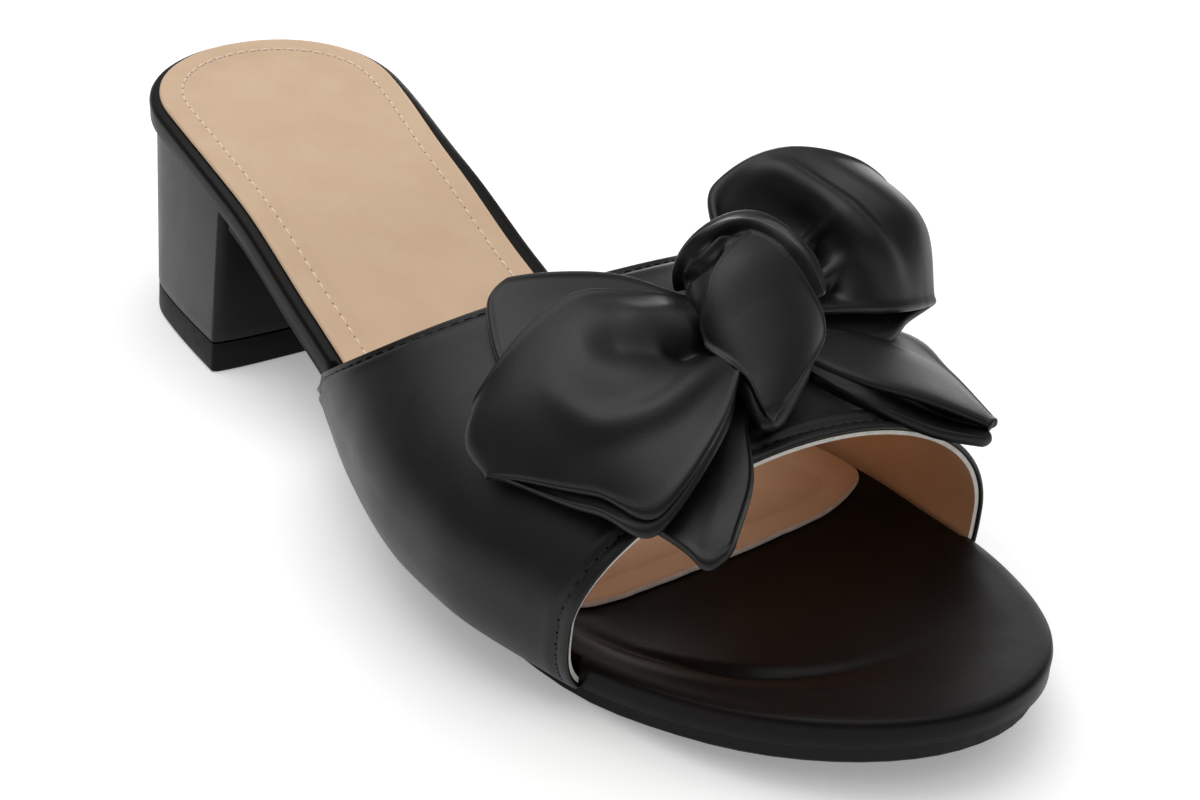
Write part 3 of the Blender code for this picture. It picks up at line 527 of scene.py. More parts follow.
@dataclass(frozen=True)
class Last:
    """The foot form: footbed outline, rim height and the sections of the upper."""

    length: float = 0.2500
    ball_width: float = 0.0864
    seat_width: float = 0.0616
    ball_at: float = 0.712
    heel_rise: float = 0.0440
    toe_spring: float = 0.0073
    seat_round: float = 0.030
    toe_round: float = 0.070
    seat_power: float = 2.1
    toe_power: float = 2.0
    outsole: float = 0.0033
    gap: float = 0.0003
    footbed: float = 0.0050
    instep_height: float = 0.0455
    stand_out: float = 0.0006
    foot_roundness: float = 2.7
    upper_centre: float = -0.0020
    outer_bulge: float = 0.0120
    inner_bulge: float = 0.0040
    rear_outer: float = 0.420
    rear_inner: float = 0.440
    rear_sweep: float = 0.0480
    rear_curve: float = 1.35
    front_outer: float = 0.796
    front_inner: float = 0.840
    centre_rows: tuple[tuple[float, float], ...] = (
        (0.00, 0.070), (0.12, -0.010), (0.28, -0.080), (0.42, -0.074), (0.56, -0.023),
        (0.66, 0.010), (0.72, 0.018), (0.89, 0.030), (1.00, 0.074),
    )
    seat_rows: tuple[tuple[float, float], ...] = (
        (0.00, 1.000), (0.12, 1.000), (0.28, 0.948), (0.42, 0.958),
    )
    ball_rows: tuple[tuple[float, float], ...] = (
        (0.56, 0.850), (0.66, 0.982), (0.72, 1.000), (0.89, 1.000), (1.00, 1.000),
    )
    rise_rows: tuple[tuple[float, float], ...] = (
        (0.00, 1.000), (0.12, 0.905), (0.26, 0.715), (0.38, 0.395), (0.50, 0.105),
        (0.58, 0.022), (0.65, 0.000), (0.77, 0.000),
    )
    spring_rows: tuple[tuple[float, float], ...] = ((0.86, 0.330), (1.00, 1.000))
    crown_rows: tuple[tuple[float, float], ...] = (
        (0.38, 0.980), (0.50, 0.990), (0.60, 0.975), (0.70, 0.890), (0.80, 0.745), (0.90, 0.600),
    )
    outer_rows: tuple[tuple[float, float], ...] = (
        (0.38, 0.350), (0.50, 0.800), (0.60, 1.000), (0.70, 0.920), (0.80, 0.370), (0.90, 0.150),
    )
    inner_rows: tuple[tuple[float, float], ...] = (
        (0.38, 0.750), (0.50, 1.000), (0.60, 1.000), (0.70, 0.750), (0.80, 0.380), (0.90, 0.250),
    )
    curves: dict[str, Profile] = field(default_factory=dict)

    def __post_init__(self) -> None:
        """Fit the curves that the tables give."""
        half_seat, half_ball = self.seat_width / 2.0, self.ball_width / 2.0
        halves = [(a, w * half_seat) for a, w in self.seat_rows]
        halves += [(a, w * half_ball) for a, w in self.ball_rows]
        stack = self.outsole + self.gap + self.footbed
        rises = [(a, stack + r * self.heel_rise) for a, r in self.rise_rows]
        rises += [(a, stack + s * self.toe_spring) for a, s in self.spring_rows]
        self.curves["centre"] = Profile([(a, c * half_ball) for a, c in self.centre_rows])
        self.curves["half"] = Profile(halves)
        self.curves["rim"] = Profile(rises)
        self.curves["crown"] = Profile([(a, c * self.instep_height) for a, c in self.crown_rows])
        self.curves["outer"] = Profile([(a, b * self.outer_bulge) for a, b in self.outer_rows])
        self.curves["inner"] = Profile([(a, b * self.inner_bulge) for a, b in self.inner_rows])

    @property
    def seat_back(self) -> float:
        """Return the place along Y of the heel's back."""
        return self.ball_at * self.length

    @property
    def plan(self) -> Plan:
        """Return the footbed's own plan."""
        return Plan(0.0, self.length, self.seat_round, self.seat_power, self.toe_round, self.toe_power)

    def along(self, y: Any) -> Any:
        """Return the share of the length from the heel's back at a place along Y."""
        return (self.seat_back - y) / self.length

    def place(self, along: Any) -> Any:
        """Return the place along Y of a share of the length."""
        return self.seat_back - along * self.length

    def rim(self, y: Any) -> Any:
        """Return the height of the footbed's rim."""
        return self.curves["rim"](self.along(y))

    def below_rim(self, y: Any, depth: Any) -> Any:
        """Return the height of the surface that lies a depth under the rim, square to it.

        Args:
            y: Place along Y.
            depth: Depth under the rim.

        Returns:
            The height.
        """
        step = 0.001
        slope = (self.rim(y + step) - self.rim(y - step)) / (2.0 * step)
        return self.rim(y) - depth * np.hypot(1.0, slope)

    def ends(self, distance: Any, plan: Plan, inset: float) -> Any:
        """Return the width share of a plan, drawn in by an inset.

        Args:
            distance: Distance from the heel's back.
            plan: The outline's ends.
            inset: How far it is drawn in.

        Returns:
            The share of the full width.
        """

        def share(from_end: Any, length: float, power: float) -> Any:
            """Return the width share that one rounded end leaves.

            Args:
                from_end: Distance from that end.
                length: Length over which it is rounded.
                power: The rounding's power.

            Returns:
                The share of the full width.
            """
            room = max(length - inset, 0.00075)
            part = np.clip(1.0 - (from_end - inset) / room, 0.0, 1.0)
            return (1.0 - part**power) ** (1.0 / power)

        seat = share(distance, self.seat_round, self.seat_power)
        toe = share(self.length - distance, self.toe_round, self.toe_power)
        own_start = share(distance - plan.start, plan.start_round, plan.start_power)
        own_stop = share(plan.stop - distance, plan.stop_round, plan.stop_power)
        return np.minimum(seat, own_start) * np.minimum(toe, own_stop)

    def ring(self, plan: Plan, shares: np.ndarray, inset: float = 0.0) -> np.ndarray:
        """Return the ring of a plan, from its rear tip along -X to its front tip and back.

        Args:
            plan: The outline's ends.
            shares: Shares of its length where it has points.
            inset: How far it is drawn in.

        Returns:
            Places in X and Y, one a row.
        """
        distance = plan.start + inset + (plan.stop - plan.start - 2.0 * inset) * shares
        along = distance / self.length
        half = (self.curves["half"](along) - inset) * self.ends(distance, plan, inset)
        centre = self.curves["centre"](along)
        y = self.seat_back - distance
        outer = np.stack([centre - half, y], axis=1)
        inner = np.stack([centre + half, y], axis=1)
        return np.concatenate([outer, inner[-2:0:-1]])

    def sole_half(self, y: Any, side: Any) -> Any:
        """Return the X of the footbed's outline on the side -1 or +1.

        Args:
            y: Place along Y.
            side: The side, -1 or +1.

        Returns:
            The place along X.
        """
        along = self.along(y)
        half = self.curves["half"](along) * self.ends(along * self.length, self.plan, 0.0)
        return self.curves["centre"](along) + side * half

    def edge_distance(self, spots: np.ndarray) -> np.ndarray:
        """Return how far each place in X and Y lies from the footbed's edge.

        Args:
            spots: Places in X and Y, one a row.

        Returns:
            One distance a place.
        """
        ring = self.ring(self.plan, tip_shares(120))
        closed = np.concatenate([ring, ring[:1]])
        starts, steps = closed[:-1], np.diff(closed, axis=0)
        gap = spots[:, None, :] - starts
        share = np.clip((gap * steps).sum(-1) / np.maximum((steps**2).sum(-1), 1e-18), 0.0, 1.0)
        return np.linalg.norm(gap - share[..., None] * steps, axis=-1).min(axis=-1)

    def rear_edge(self, around: Any) -> Any:
        """Return the place along Y of the upper's rear edge, from outer to inner side.

        Args:
            around: 0 at the outer side, 1 at the inner side.

        Returns:
            The place along Y.
        """
        side = self.place(self.rear_outer) * (1.0 - around) + self.place(self.rear_inner) * around
        arch = np.clip(np.sin(math.pi * around), 0.0, 1.0)
        return side - self.rear_sweep * arch**self.rear_curve

    def front_edge(self, around: Any) -> Any:
        """Return the place along Y of the upper's front edge, from outer to inner side."""
        share = np.sin(math.pi / 2.0 * around)
        return self.place(self.front_outer) * (1.0 - share) + self.place(self.front_inner) * share

    def section(self, y: Any, side: Any) -> tuple[Any, Any, Any, Any]:
        """Return reach, dip, crown and radius of the upper's half section at a place along Y.

        Args:
            y: Place along Y.
            side: The side, -1 or +1.

        Returns:
            Reach in X, dip in radians, height of the crown, and radius.
        """
        along = self.along(y)
        foot = self.sole_half(y, side) + side * self.stand_out
        swell = np.where(side < 0, self.curves["outer"](along), self.curves["inner"](along))
        reach = np.abs(foot - self.upper_centre) + swell
        narrow = np.clip(np.abs(foot - self.upper_centre) / reach, 0.0, 1.0)
        dip = np.arccos(narrow ** (self.foot_roundness / 2.0))
        crown = self.rim(y) + self.curves["crown"](along)
        drop = np.sin(dip) ** (2.0 / self.foot_roundness)
        radius = (crown - self.below_rim(y, self.footbed)) / (1.0 + drop)
        return reach, dip, crown, radius

    def upper_face(self, around: np.ndarray, forward: np.ndarray) -> np.ndarray:
        """Return points of the upper's outer face.

        Args:
            around: 0 at the outer side's foot, 0.5 at the crown, 1 at the inner side's foot.
            forward: 0 at the rear edge, 1 at the front edge.

        Returns:
            The points, in the inputs' layout.
        """
        y = self.rear_edge(around) * (1.0 - forward) + self.front_edge(around) * forward
        side = np.where(around <= 0.5, -1.0, 1.0)
        reach, dip, crown, radius = self.section(y, side)
        climb = 1.0 - np.abs(2.0 * around - 1.0)
        angle = -dip + (math.pi / 2.0 + dip) * climb
        power = np.where(angle < 0.0, 2.0 / self.foot_roundness, 1.0)
        level = np.sign(np.sin(angle)) * np.abs(np.sin(angle)) ** power
        width = np.abs(np.cos(angle)) ** power
        x = self.upper_centre + side * reach * width
        return np.stack([x, y, crown - radius + radius * level], axis=-1)

    def upper_top(self, x: Any, y: Any) -> Any:
        """Return the height of the upper's outer face over a place, carried past its edges.

        Args:
            x: Place along X.
            y: Place along Y.

        Returns:
            The height.
        """
        side = np.where(x < self.upper_centre, -1.0, 1.0)
        reach, _, crown, radius = self.section(y, side)
        share = np.minimum(0.97, np.abs(x - self.upper_centre) / reach)
        return crown - radius * (1.0 - np.sqrt(1.0 - share * share))


def tip_shares(steps: int, extra: Sequence[float] = ()) -> np.ndarray:
    """Return shares of a length that crowd toward both tips, with others added.

    Args:
        steps: Steps from tip to tip.
        extra: Shares that have to be among them.

    Returns:
        The shares, rising.
    """
    even = (1.0 - np.cos(np.pi * np.arange(steps + 1) / steps)) / 2.0
    kept = [share for share in even if all(abs(share - other) > 0.0012 for other in extra)]
    return np.array(sorted(kept + list(extra)))


def cap_faces(base: int, count: int) -> list[tuple[int, ...]]:
    """Return the crosswise strips that close a ring whose halves mirror each other.

    Args:
        base: Number of the ring's first point.
        count: Points in the ring.

    Returns:
        The faces.
    """
    steps = count // 2
    faces: list[tuple[int, ...]] = [(base, base + 1, base + count - 1)]
    for step in range(1, steps - 1):
        left, right = base + step, base + count - step
        faces.append((left, left + 1, right - 1, right))
    faces.append((base + steps - 1, base + steps, base + steps + 1))
    return faces


def ring_walls(rings: int, count: int) -> list[tuple[int, ...]]:
    """Return the faces between rings of equal count, stacked from the top down.

    Args:
        rings: Count of the rings.
        count: Points in each.

    Returns:
        The faces.
    """
    faces: list[tuple[int, ...]] = []
    for level in range(rings - 1):
        for index in range(count):
            following = (index + 1) % count
            high, low = level * count, (level + 1) * count
            faces.append((high + index, low + index, low + following, high + following))
    return faces


def add_rings(
    name: str,
    rings: Sequence[np.ndarray],
    finishes: Sequence[Finish],
    wall_finishes: Sequence[int] = (),
    sharp_angle: float = 50.0,
) -> bpy.types.Object:
    """Add a closed piece made of rings, the top one first.

    Args:
        name: The piece's name.
        rings: Points of each ring, all of one count.
        finishes: The finishes it wears.
        wall_finishes: For each face between the rings the number of its finish, or nothing.
        sharp_angle: Edges that turn by more degrees than this stay crisp.

    Returns:
        The new object.
    """
    count = len(rings[0])
    caps = cap_faces(0, count) + [face[::-1] for face in cap_faces((len(rings) - 1) * count, count)]
    faces = ring_walls(len(rings), count) + caps
    finish_of = [*wall_finishes, *[0] * len(caps)] if len(wall_finishes) else None
    return add_piece(name, np.concatenate(rings), faces, finishes, finish_of, sharp_angle)


@dataclass
class Seam:
    """A row of stitches: thread arcs that dip into the leather between the needle holes, which are dark
    discs of painted shade.
    """

    pitch: float
    stitch: float
    thread: float
    rise: float
    hole: float
    hole_stretch: float
    sides: int = 6
    steps: int = 7
    sunk_share: float = 0.3
    tip_width: float = 0.45
    hole_sides: int = 8
    hole_rings: tuple[tuple[float, float], ...] = ((-0.10, 0.5), (0.02, 1.0), (0.035, 0.6))

    def build(
        self,
        name: str,
        path: np.ndarray,
        normals: np.ndarray,
        finishes: Sequence[Finish],
        slot: Slot,
    ) -> bpy.types.Object:
        """Add the stitches along a path.

        Args:
            name: The piece's name.
            path: Points on the leather, one a row.
            normals: The leather's normal at each.
            finishes: The thread's finish and the painted shade of the needle holes.
            slot: Not used.

        Returns:
            The new object.
        """
        runs = np.concatenate([[0.0], np.cumsum(np.linalg.norm(np.diff(path, axis=0), axis=1))])
        count = int(runs[-1] / self.pitch)

        def sample(rows: np.ndarray, spots: np.ndarray) -> np.ndarray:
            """Return rows of the path or of its normals at runs along it."""
            return np.stack([np.interp(spots, runs, rows[:, k]) for k in range(3)], axis=1)

        def unit(vectors: np.ndarray) -> np.ndarray:
            """Return the vectors at length 1."""
            return vectors / np.maximum(np.linalg.norm(vectors, axis=1, keepdims=True), 1e-9)

        share = np.linspace(0.0, 1.0, self.steps)
        arch = np.clip(np.sin(np.pi * share), 0.0, 1.0)
        widths = self.thread / 2.0 * (self.tip_width + (1.0 - self.tip_width) * np.sqrt(arch))
        points: list[np.ndarray] = []
        for number in range(count):
            spots = (number + 0.5) * runs[-1] / count + self.stitch * (share - 0.5)
            ups = unit(sample(normals, spots))
            line = sample(path, spots) + ups * (self.rise * arch - self.sunk_share * self.thread)[:, None]
            across = np.cross(unit(np.gradient(line, axis=0)), ups)
            points.append(self.tube(line, widths[:, None] * across, widths[:, None] * ups, self.sides))
        # Needle holes: small flat discs just over the leather, coloured dark as painted shade of the pits
        spots = np.arange(count + 1) * runs[-1] / count
        reach = (self.pitch - self.stitch) / 2.0
        ups = unit(sample(normals, spots))
        ahead = unit(sample(path, spots + reach) - sample(path, spots - reach))
        centres, across = sample(path, spots), np.cross(ahead, ups)
        heights, wides = (np.array(column)[:, None] for column in zip(*self.hole_rings))
        for centre, up, along, beside in zip(centres, ups, ahead, across):
            long, broad = wides * self.hole * self.hole_stretch * along, wides * self.hole * beside
            points.append(self.tube(centre + heights * MM * up, long, broad, self.hole_sides))
        stitch = self.tube_faces(self.steps, self.sides, True)
        hole = self.tube_faces(len(self.hole_rings), self.hole_sides, False)
        shapes = [stitch] * count + [hole] * (count + 1)
        starts = np.cumsum([0] + [len(part) for part in points])
        faces = [tuple(int(base) + i for i in face) for base, shape in zip(starts, shapes) for face in shape]
        finish_of = [0] * (count * len(stitch)) + [1] * ((count + 1) * len(hole))
        return add_piece(name, np.concatenate(points), faces, finishes, finish_of, 80.0)

    def tube(self, line: np.ndarray, first: np.ndarray, second: np.ndarray, sides: int) -> np.ndarray:
        """Return rings round a line.

        Args:
            line: The rings' centres, one a row.
            first: Each ring's reach one way.
            second: Its reach the other way.
            sides: Points of each ring.

        Returns:
            The points, ring after ring.
        """
        turn = (2.0 * np.pi * np.arange(sides) / sides)[None, :, None]
        rings = line[:, None] + np.cos(turn) * first[:, None] + np.sin(turn) * second[:, None]
        return rings.reshape(-1, 3)

    def tube_faces(self, rings: int, sides: int, turned: bool) -> list[tuple[int, ...]]:
        """Return the faces of a closed tube of rings, its walls turned over or not."""
        walls = [face[:1] + face[:0:-1] if turned else face for face in ring_walls(rings, sides)]
        return walls + [tuple(range(sides))[::-1], tuple(range((rings - 1) * sides, rings * sides))]


@dataclass
class SoleUnit:
    """Outsole, wrapped footbed and the glued sock with its edge stitching."""

    last: Last
    steps: int = 150
    edge_round: float = 0.0014
    slope_width: float = 0.0160
    dish: float = 0.0020
    rim_inset: float = 0.0024
    upper_wall: float = 0.0018
    margin_width: float = 0.0050
    margin_ramp: float = 0.0012
    toe_dish: float = 0.38
    sock_length: float = 0.1890
    sock_front_round: float = 0.0140
    sock_front_power: float = 3.5
    sock_thickness: float = 0.0008
    ragged: float = 0.00035
    cut_reach: float = 0.0160
    seam_inset: float = 0.0076
    seam_set_back: float = 0.0030
    waist_in: float = 0.0024
    seam_front_in: float = 0.0062

    def dress(self) -> None:
        """Make the three layers."""
        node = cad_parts["outsole"]
        node.data.materials.clear()
        node.data.materials.append(RUBBER.material())
        self.footbed()
        self.sock()
        LOG.info("sole unit: outsole, footbed, sock")

    def dish_fall(self, distance: np.ndarray, flat: np.ndarray) -> np.ndarray:
        """Return how far the footbed's top lies under its rim.

        Args:
            distance: Distance of each place from the footbed's edge.
            flat: The places in X and Y.

        Returns:
            The depth, square to the rim's line.
        """
        slope = Profile([(0.0, 0.0), (0.25, 0.14), (0.50, 0.50), (0.75, 0.85), (1.0, 1.0)])
        toe = eased((self.last.along(flat[:, 1]) - 0.76) / 0.12)
        dish = self.dish * (1.0 - (1.0 - self.toe_dish) * toe)
        return dish * slope((distance - self.rim_inset) / self.slope_width)

    def wrap_crease(self, flat: np.ndarray) -> np.ndarray:
        """Return the rise of the wrap's crease and roll, on the outer side of the toe.

        Args:
            flat: Places in X and Y.

        Returns:
            The rise of each.
        """
        crease = Stroke(
            ((-0.0352, -0.0060), (-0.0336, -0.0148), (-0.0291, -0.0268), (-0.0222, -0.0393),
             (-0.0109, -0.0479), (0.0010, -0.0512), (0.0080, -0.0515)),
            1.5 * MM, -1.9 * MM, 0.85,
        )
        roll = Stroke(
            ((-0.0372, -0.0100), (-0.0356, -0.0206), (-0.0330, -0.0300), (-0.0262, -0.0425),
             (-0.0134, -0.0530), (0.0048, -0.0590)),
            1.8 * MM, 0.35 * MM, 0.5,
        )
        return crease.lift(flat) + roll.lift(flat)

    def margin_mask(self, ring: np.ndarray) -> np.ndarray:
        """Return 1 where the upper's margin passes under the footbed, 0 clear of it.

        Args:
            ring: Places in X and Y along the edge.

        Returns:
            One value a place.
        """
        last = self.last
        around = np.where(ring[:, 0] < last.curves["centre"](last.along(ring[:, 1])), 0.0, 1.0)
        behind = last.rear_edge(around) - last.gap - ring[:, 1]
        ahead = ring[:, 1] - last.front_edge(around) - last.gap
        return eased(np.minimum(behind, ahead) / self.margin_ramp)

    def tuck_shares(self) -> list[float]:
        """Return where the footbed's edge starts and ends its tuck beside the upper's edges.

        Returns:
            Shares of the footbed's length.
        """
        last = self.last
        shares: list[float] = []
        for around in (0.0, 1.0):
            for ramp in (0.0, 0.25, 0.5, 0.75, 1.0):
                reach = last.gap + ramp * self.margin_ramp
                shares.append((last.seat_back - last.rear_edge(around) + reach) / last.length)
                shares.append((last.seat_back - last.front_edge(around) - reach) / last.length)
        return [float(share) for share in shares]

    def footbed(self) -> None:
        """Add the footbed: padded board in one wrapped skin, dished, its edge turned under."""
        last = self.last
        shares = tip_shares(self.steps, self.tuck_shares())
        insets = [0.0240 - 0.0008 * step for step in range(11)]
        insets += [0.0152 - 0.00045 * step for step in range(30)] + [0.0018, 0.0016]
        rings: list[np.ndarray] = []
        for inset in insets:
            flat = last.ring(last.plan, shares, inset)
            away = last.edge_distance(flat)
            depth = self.dish_fall(away, flat) - self.wrap_crease(flat)
            rounding = self.edge_round * (1.0 - np.sqrt(np.clip(
                1.0 - (1.0 - np.clip(away / (1.6 * self.edge_round), 0.0, 1.0)) ** 2, 0.0, 1.0)))
            rings.append(np.column_stack([flat, last.below_rim(flat[:, 1], depth + rounding)]))
        edge = last.ring(last.plan, shares)
        mask = self.margin_mask(edge)
        tuck = self.upper_wall - last.stand_out + last.gap
        for turn in (65.0, 45.0, 25.0, 0.0):
            inward = self.edge_round * (1.0 - math.cos(math.radians(turn)))
            down = self.edge_round * (1.0 - math.sin(math.radians(turn)))
            rings.append(self.side_ring(edge, inward + tuck * mask, down, 0.0 * mask))
        lift = self.upper_wall + last.gap
        low = last.footbed
        rings.append(self.side_ring(edge, 0.00005 + tuck * mask, 0.6 * low, 0.6 * lift * mask))
        rings.append(self.side_ring(edge, tuck * mask, low - 0.0004, lift * mask))
        rings.append(self.side_ring(edge, 0.0004 + tuck * mask, low, lift * mask))
        rings.append(self.side_ring(edge, self.margin_width + last.gap + tuck * mask, low, lift * mask))
        piece = add_rings("footbed_cover", rings, [FOOTBED_LEATHER])
        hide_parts("footbed")

    def side_ring(
        self, edge: np.ndarray, insets: np.ndarray, depth: float, lift: np.ndarray
    ) -> np.ndarray:
        """Return a ring of the footbed's side, each point moved in by its own distance.

        Args:
            edge: The footbed's outline in X and Y.
            insets: How far each point is moved in.
            depth: Depth of the ring under the rim.
            lift: How far each point is raised.

        Returns:
            The ring's points.
        """
        before = edge - np.roll(edge, 1, axis=0)
        after = np.roll(edge, -1, axis=0) - edge
        before /= np.maximum(np.linalg.norm(before, axis=1, keepdims=True), 1e-12)
        after /= np.maximum(np.linalg.norm(after, axis=1, keepdims=True), 1e-12)
        tangent = before + after
        inward = np.column_stack([-tangent[:, 1], tangent[:, 0]])
        inward /= np.linalg.norm(inward, axis=1, keepdims=True)
        flat = edge + inward * np.asarray(insets)[:, None]
        return np.column_stack([flat, self.last.below_rim(edge[:, 1], depth) + lift])

    def sock_top(self, flat: np.ndarray, over: float) -> np.ndarray:
        """Return points a little over the footbed's dish.

        Args:
            flat: Places in X and Y.
            over: Height over the dish.

        Returns:
            The points.
        """
        away = self.last.edge_distance(flat)
        depth = self.dish_fall(away, flat) - over
        return np.column_stack([flat, self.last.below_rim(flat[:, 1], depth)])

    def drawn_in(self, flat: np.ndarray, at_front: float) -> np.ndarray:
        """Return the plan with its inner side drawn in at the waist, and further at the front.

        Args:
            flat: Places in X and Y.
            at_front: How much further at the front.

        Returns:
            The moved places.
        """
        along = self.last.along(flat[:, 1])
        half = self.last.curves["half"](along)
        side = np.clip((flat[:, 0] - self.last.curves["centre"](along)) / half, 0.0, 1.0)
        waist = self.waist_in * eased((along - 0.06) / 0.32) * eased((0.70 - along) / 0.16)
        front = at_front * eased((along - 0.52) / 0.16)
        made = flat.copy()
        made[:, 0] -= side * (waist + front)
        return made

    def sock(self) -> None:
        """Add the sock with its ragged, pale cut front edge, and its stitches."""
        last = self.last
        plan = Plan(
            0.0, self.sock_length, last.seat_round, last.seat_power,
            self.sock_front_round, self.sock_front_power,
        )
        shares = tip_shares(self.steps + 60)
        jags = Profile([
            (-0.040, 0.0), (-0.031, -0.2), (-0.0285, 0.3), (-0.024, -0.1), (-0.0205, 0.4),
            (-0.018, -0.3), (-0.0155, 0.2), (-0.012, -0.3), (-0.0105, 0.4), (-0.007, 0.0),
            (-0.003, 0.3), (-0.0012, -0.9), (0.000, 0.9), (0.003, 0.5), (0.0062, -1.3),
            (0.0078, 0.8), (0.012, 0.3), (0.0165, -0.2), (0.018, 0.2), (0.024, 0.0),
            (0.0265, 0.2), (0.031, 0.0), (0.038, 0.0),
        ])

        def layer(inset: float, over: float, pull: float) -> np.ndarray:
            """Return one ring of the sock.

            Args:
                inset: How far it is drawn in.
                over: Its height over the footbed's dish.
                pull: The share of the ragged cut that it shows.

            Returns:
                The ring's points.
            """
            flat = self.drawn_in(last.ring(plan, shares, inset), 0.0)
            near = eased((self.last.seat_back - flat[:, 1] - self.sock_length + 0.012) / 0.010)
            flat[:, 1] -= near * (self.ragged * pull * jags(flat[:, 0]))
            return self.sock_top(flat, over)

        top = last.gap + self.sock_thickness
        insets = [0.0154, 0.0120, 0.0095, 0.0075, 0.0060, 0.0048, 0.0038, 0.0032]
        rings = [layer(inset, top, 0.0) for inset in insets]
        rings.append(layer(0.0028, top - 0.00010, 1.0))
        rings.append(layer(0.0025, top - 0.00035, 1.0))
        rings.append(layer(0.0024, last.gap, 1.0))
        rings.append(layer(0.0060, last.gap, 0.0))
        cut = np.zeros((len(rings) - 1, len(rings[0])), dtype=int)
        for level in (8, 9):
            cut[level] = last.seat_back - rings[level][:, 1] > self.sock_length - self.cut_reach
        finishes = [SOCK_LEATHER, BACKING_EDGE]
        piece = add_rings("sock_liner", rings, finishes, cut.ravel().tolist())
        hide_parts("sock")
        seam_plan = plan._replace(
            stop=self.sock_length - self.seam_set_back, stop_round=0.0060, stop_power=3.0
        )
        inner = self.drawn_in(
            last.ring(seam_plan, tip_shares(200), self.seam_inset), self.seam_front_in
        )
        path = self.sock_top(np.concatenate([inner, inner[:1]]), top)
        normals = np.tile(np.array([0.0, 0.0, 1.0]), (len(path), 1))
        seam = Seam(0.0031, 0.0023, 0.00055, 0.00026, 0.00022, 1.1)
        # The needle holes take a brown painted shade
        seam.build("sock_stitches", path, normals, [PALE_THREAD, SOCK_HOLE_PAINTED_SHADE], Slot.SOCK)


@dataclass
class Heel:
    """The leather-covered block heel and its rubber top piece."""

    last: Last
    length: float = 0.0612
    flare: float = 0.0066
    rear_share: float = 0.25
    breast_lean: float = 0.0030
    inset: float = 0.0014
    top_piece: float = 0.0065
    corner: float = 0.0040
    corner_power: float = 2.2
    edge: float = 0.0004
    steps: int = 90
    levels: int = 16

    def dress(self) -> None:
        """Make the cover and the top piece."""
        self.cover()
        self.rubber()
        LOG.info("heel: block cover and top piece")

    @property
    def seat_level(self) -> float:
        """Return the height of the heel's seat at its breast.

        Returns:
            The height.
        """
        last = self.last
        y = last.place(self.length / last.length)
        return float(last.below_rim(y, last.footbed + last.gap))

    def ring(self, height: float, inset: float) -> np.ndarray:
        """Return the heel's outline at a height, flared outward and forward toward the floor.

        Args:
            height: Height over the floor.
            inset: How far it is drawn in.

        Returns:
            Places in X and Y, one a row.
        """
        last = self.last
        low = max(0.0, 1.0 - height / self.seat_level)
        stop = self.length + self.breast_lean * low
        plan = Plan(0.0, stop, last.seat_round, last.seat_power, self.corner, self.corner_power)
        flat = last.ring(plan, tip_shares(self.steps), self.inset + inset)
        reach = (last.seat_back - flat[:, 1]) / stop
        side = (flat[:, 0] - last.curves["centre"](last.along(flat[:, 1]))) / (last.seat_width / 2.0)
        flat[:, 0] += side * self.flare * low * (self.rear_share + (1.0 - self.rear_share) * reach)
        return flat

    def stack(self, name: str, rings: list[np.ndarray], finish: Finish, slot: Slot, node: str) -> None:
        """Add a closed piece from rings, the top one first.

        Args:
            name: The piece's name.
            rings: Its rings.
            finish: Its finish.
            slot: Not used.
            node: The node it replaces.
        """
        piece = add_rings(name, rings, [finish], sharp_angle=35.0)
        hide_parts(node)

    def cover(self) -> None:
        """Add the leather-covered block, its lower edge softly turned."""
        last = self.last
        foot = self.top_piece + last.gap
        high = self.ring(self.seat_level, 0.0)
        low = self.ring(foot, 0.0)
        seat = last.below_rim(high[:, 1], last.footbed + last.gap)
        rings: list[np.ndarray] = []
        for share in np.linspace(0.0, 1.0, self.levels):
            flat = high * (1.0 - share) + low * share
            rings.append(np.column_stack([flat, seat * (1.0 - share) + (foot + self.edge) * share]))
        for turn in (30.0, 60.0, 90.0):
            drawn = self.edge * (1.0 - math.cos(math.radians(turn)))
            drop = self.edge * (1.0 - math.sin(math.radians(turn)))
            flat = self.ring(foot, drawn)
            rings.append(np.column_stack([flat, np.full(len(flat), foot + drop)]))
        self.stack("heel_cover", rings, HEEL_LEATHER, Slot.HEEL_COVER, "heel_block")

    def rubber(self) -> None:
        """Add the moulded top piece on the floor."""
        rings: list[np.ndarray] = []
        for height, drawn in (
            (self.top_piece, 0.0004), (self.top_piece - 0.0001, 0.0002), (self.top_piece - 0.0004, 0.0001),
            (0.0007, 0.0001), (0.0003, 0.0003), (0.0, 0.0008),
        ):
            flat = self.ring(height, drawn)
            rings.append(np.column_stack([flat, np.full(len(flat), height)]))
        self.stack("heel_top_piece", rings, RUBBER, Slot.RUBBER, "top_piece")


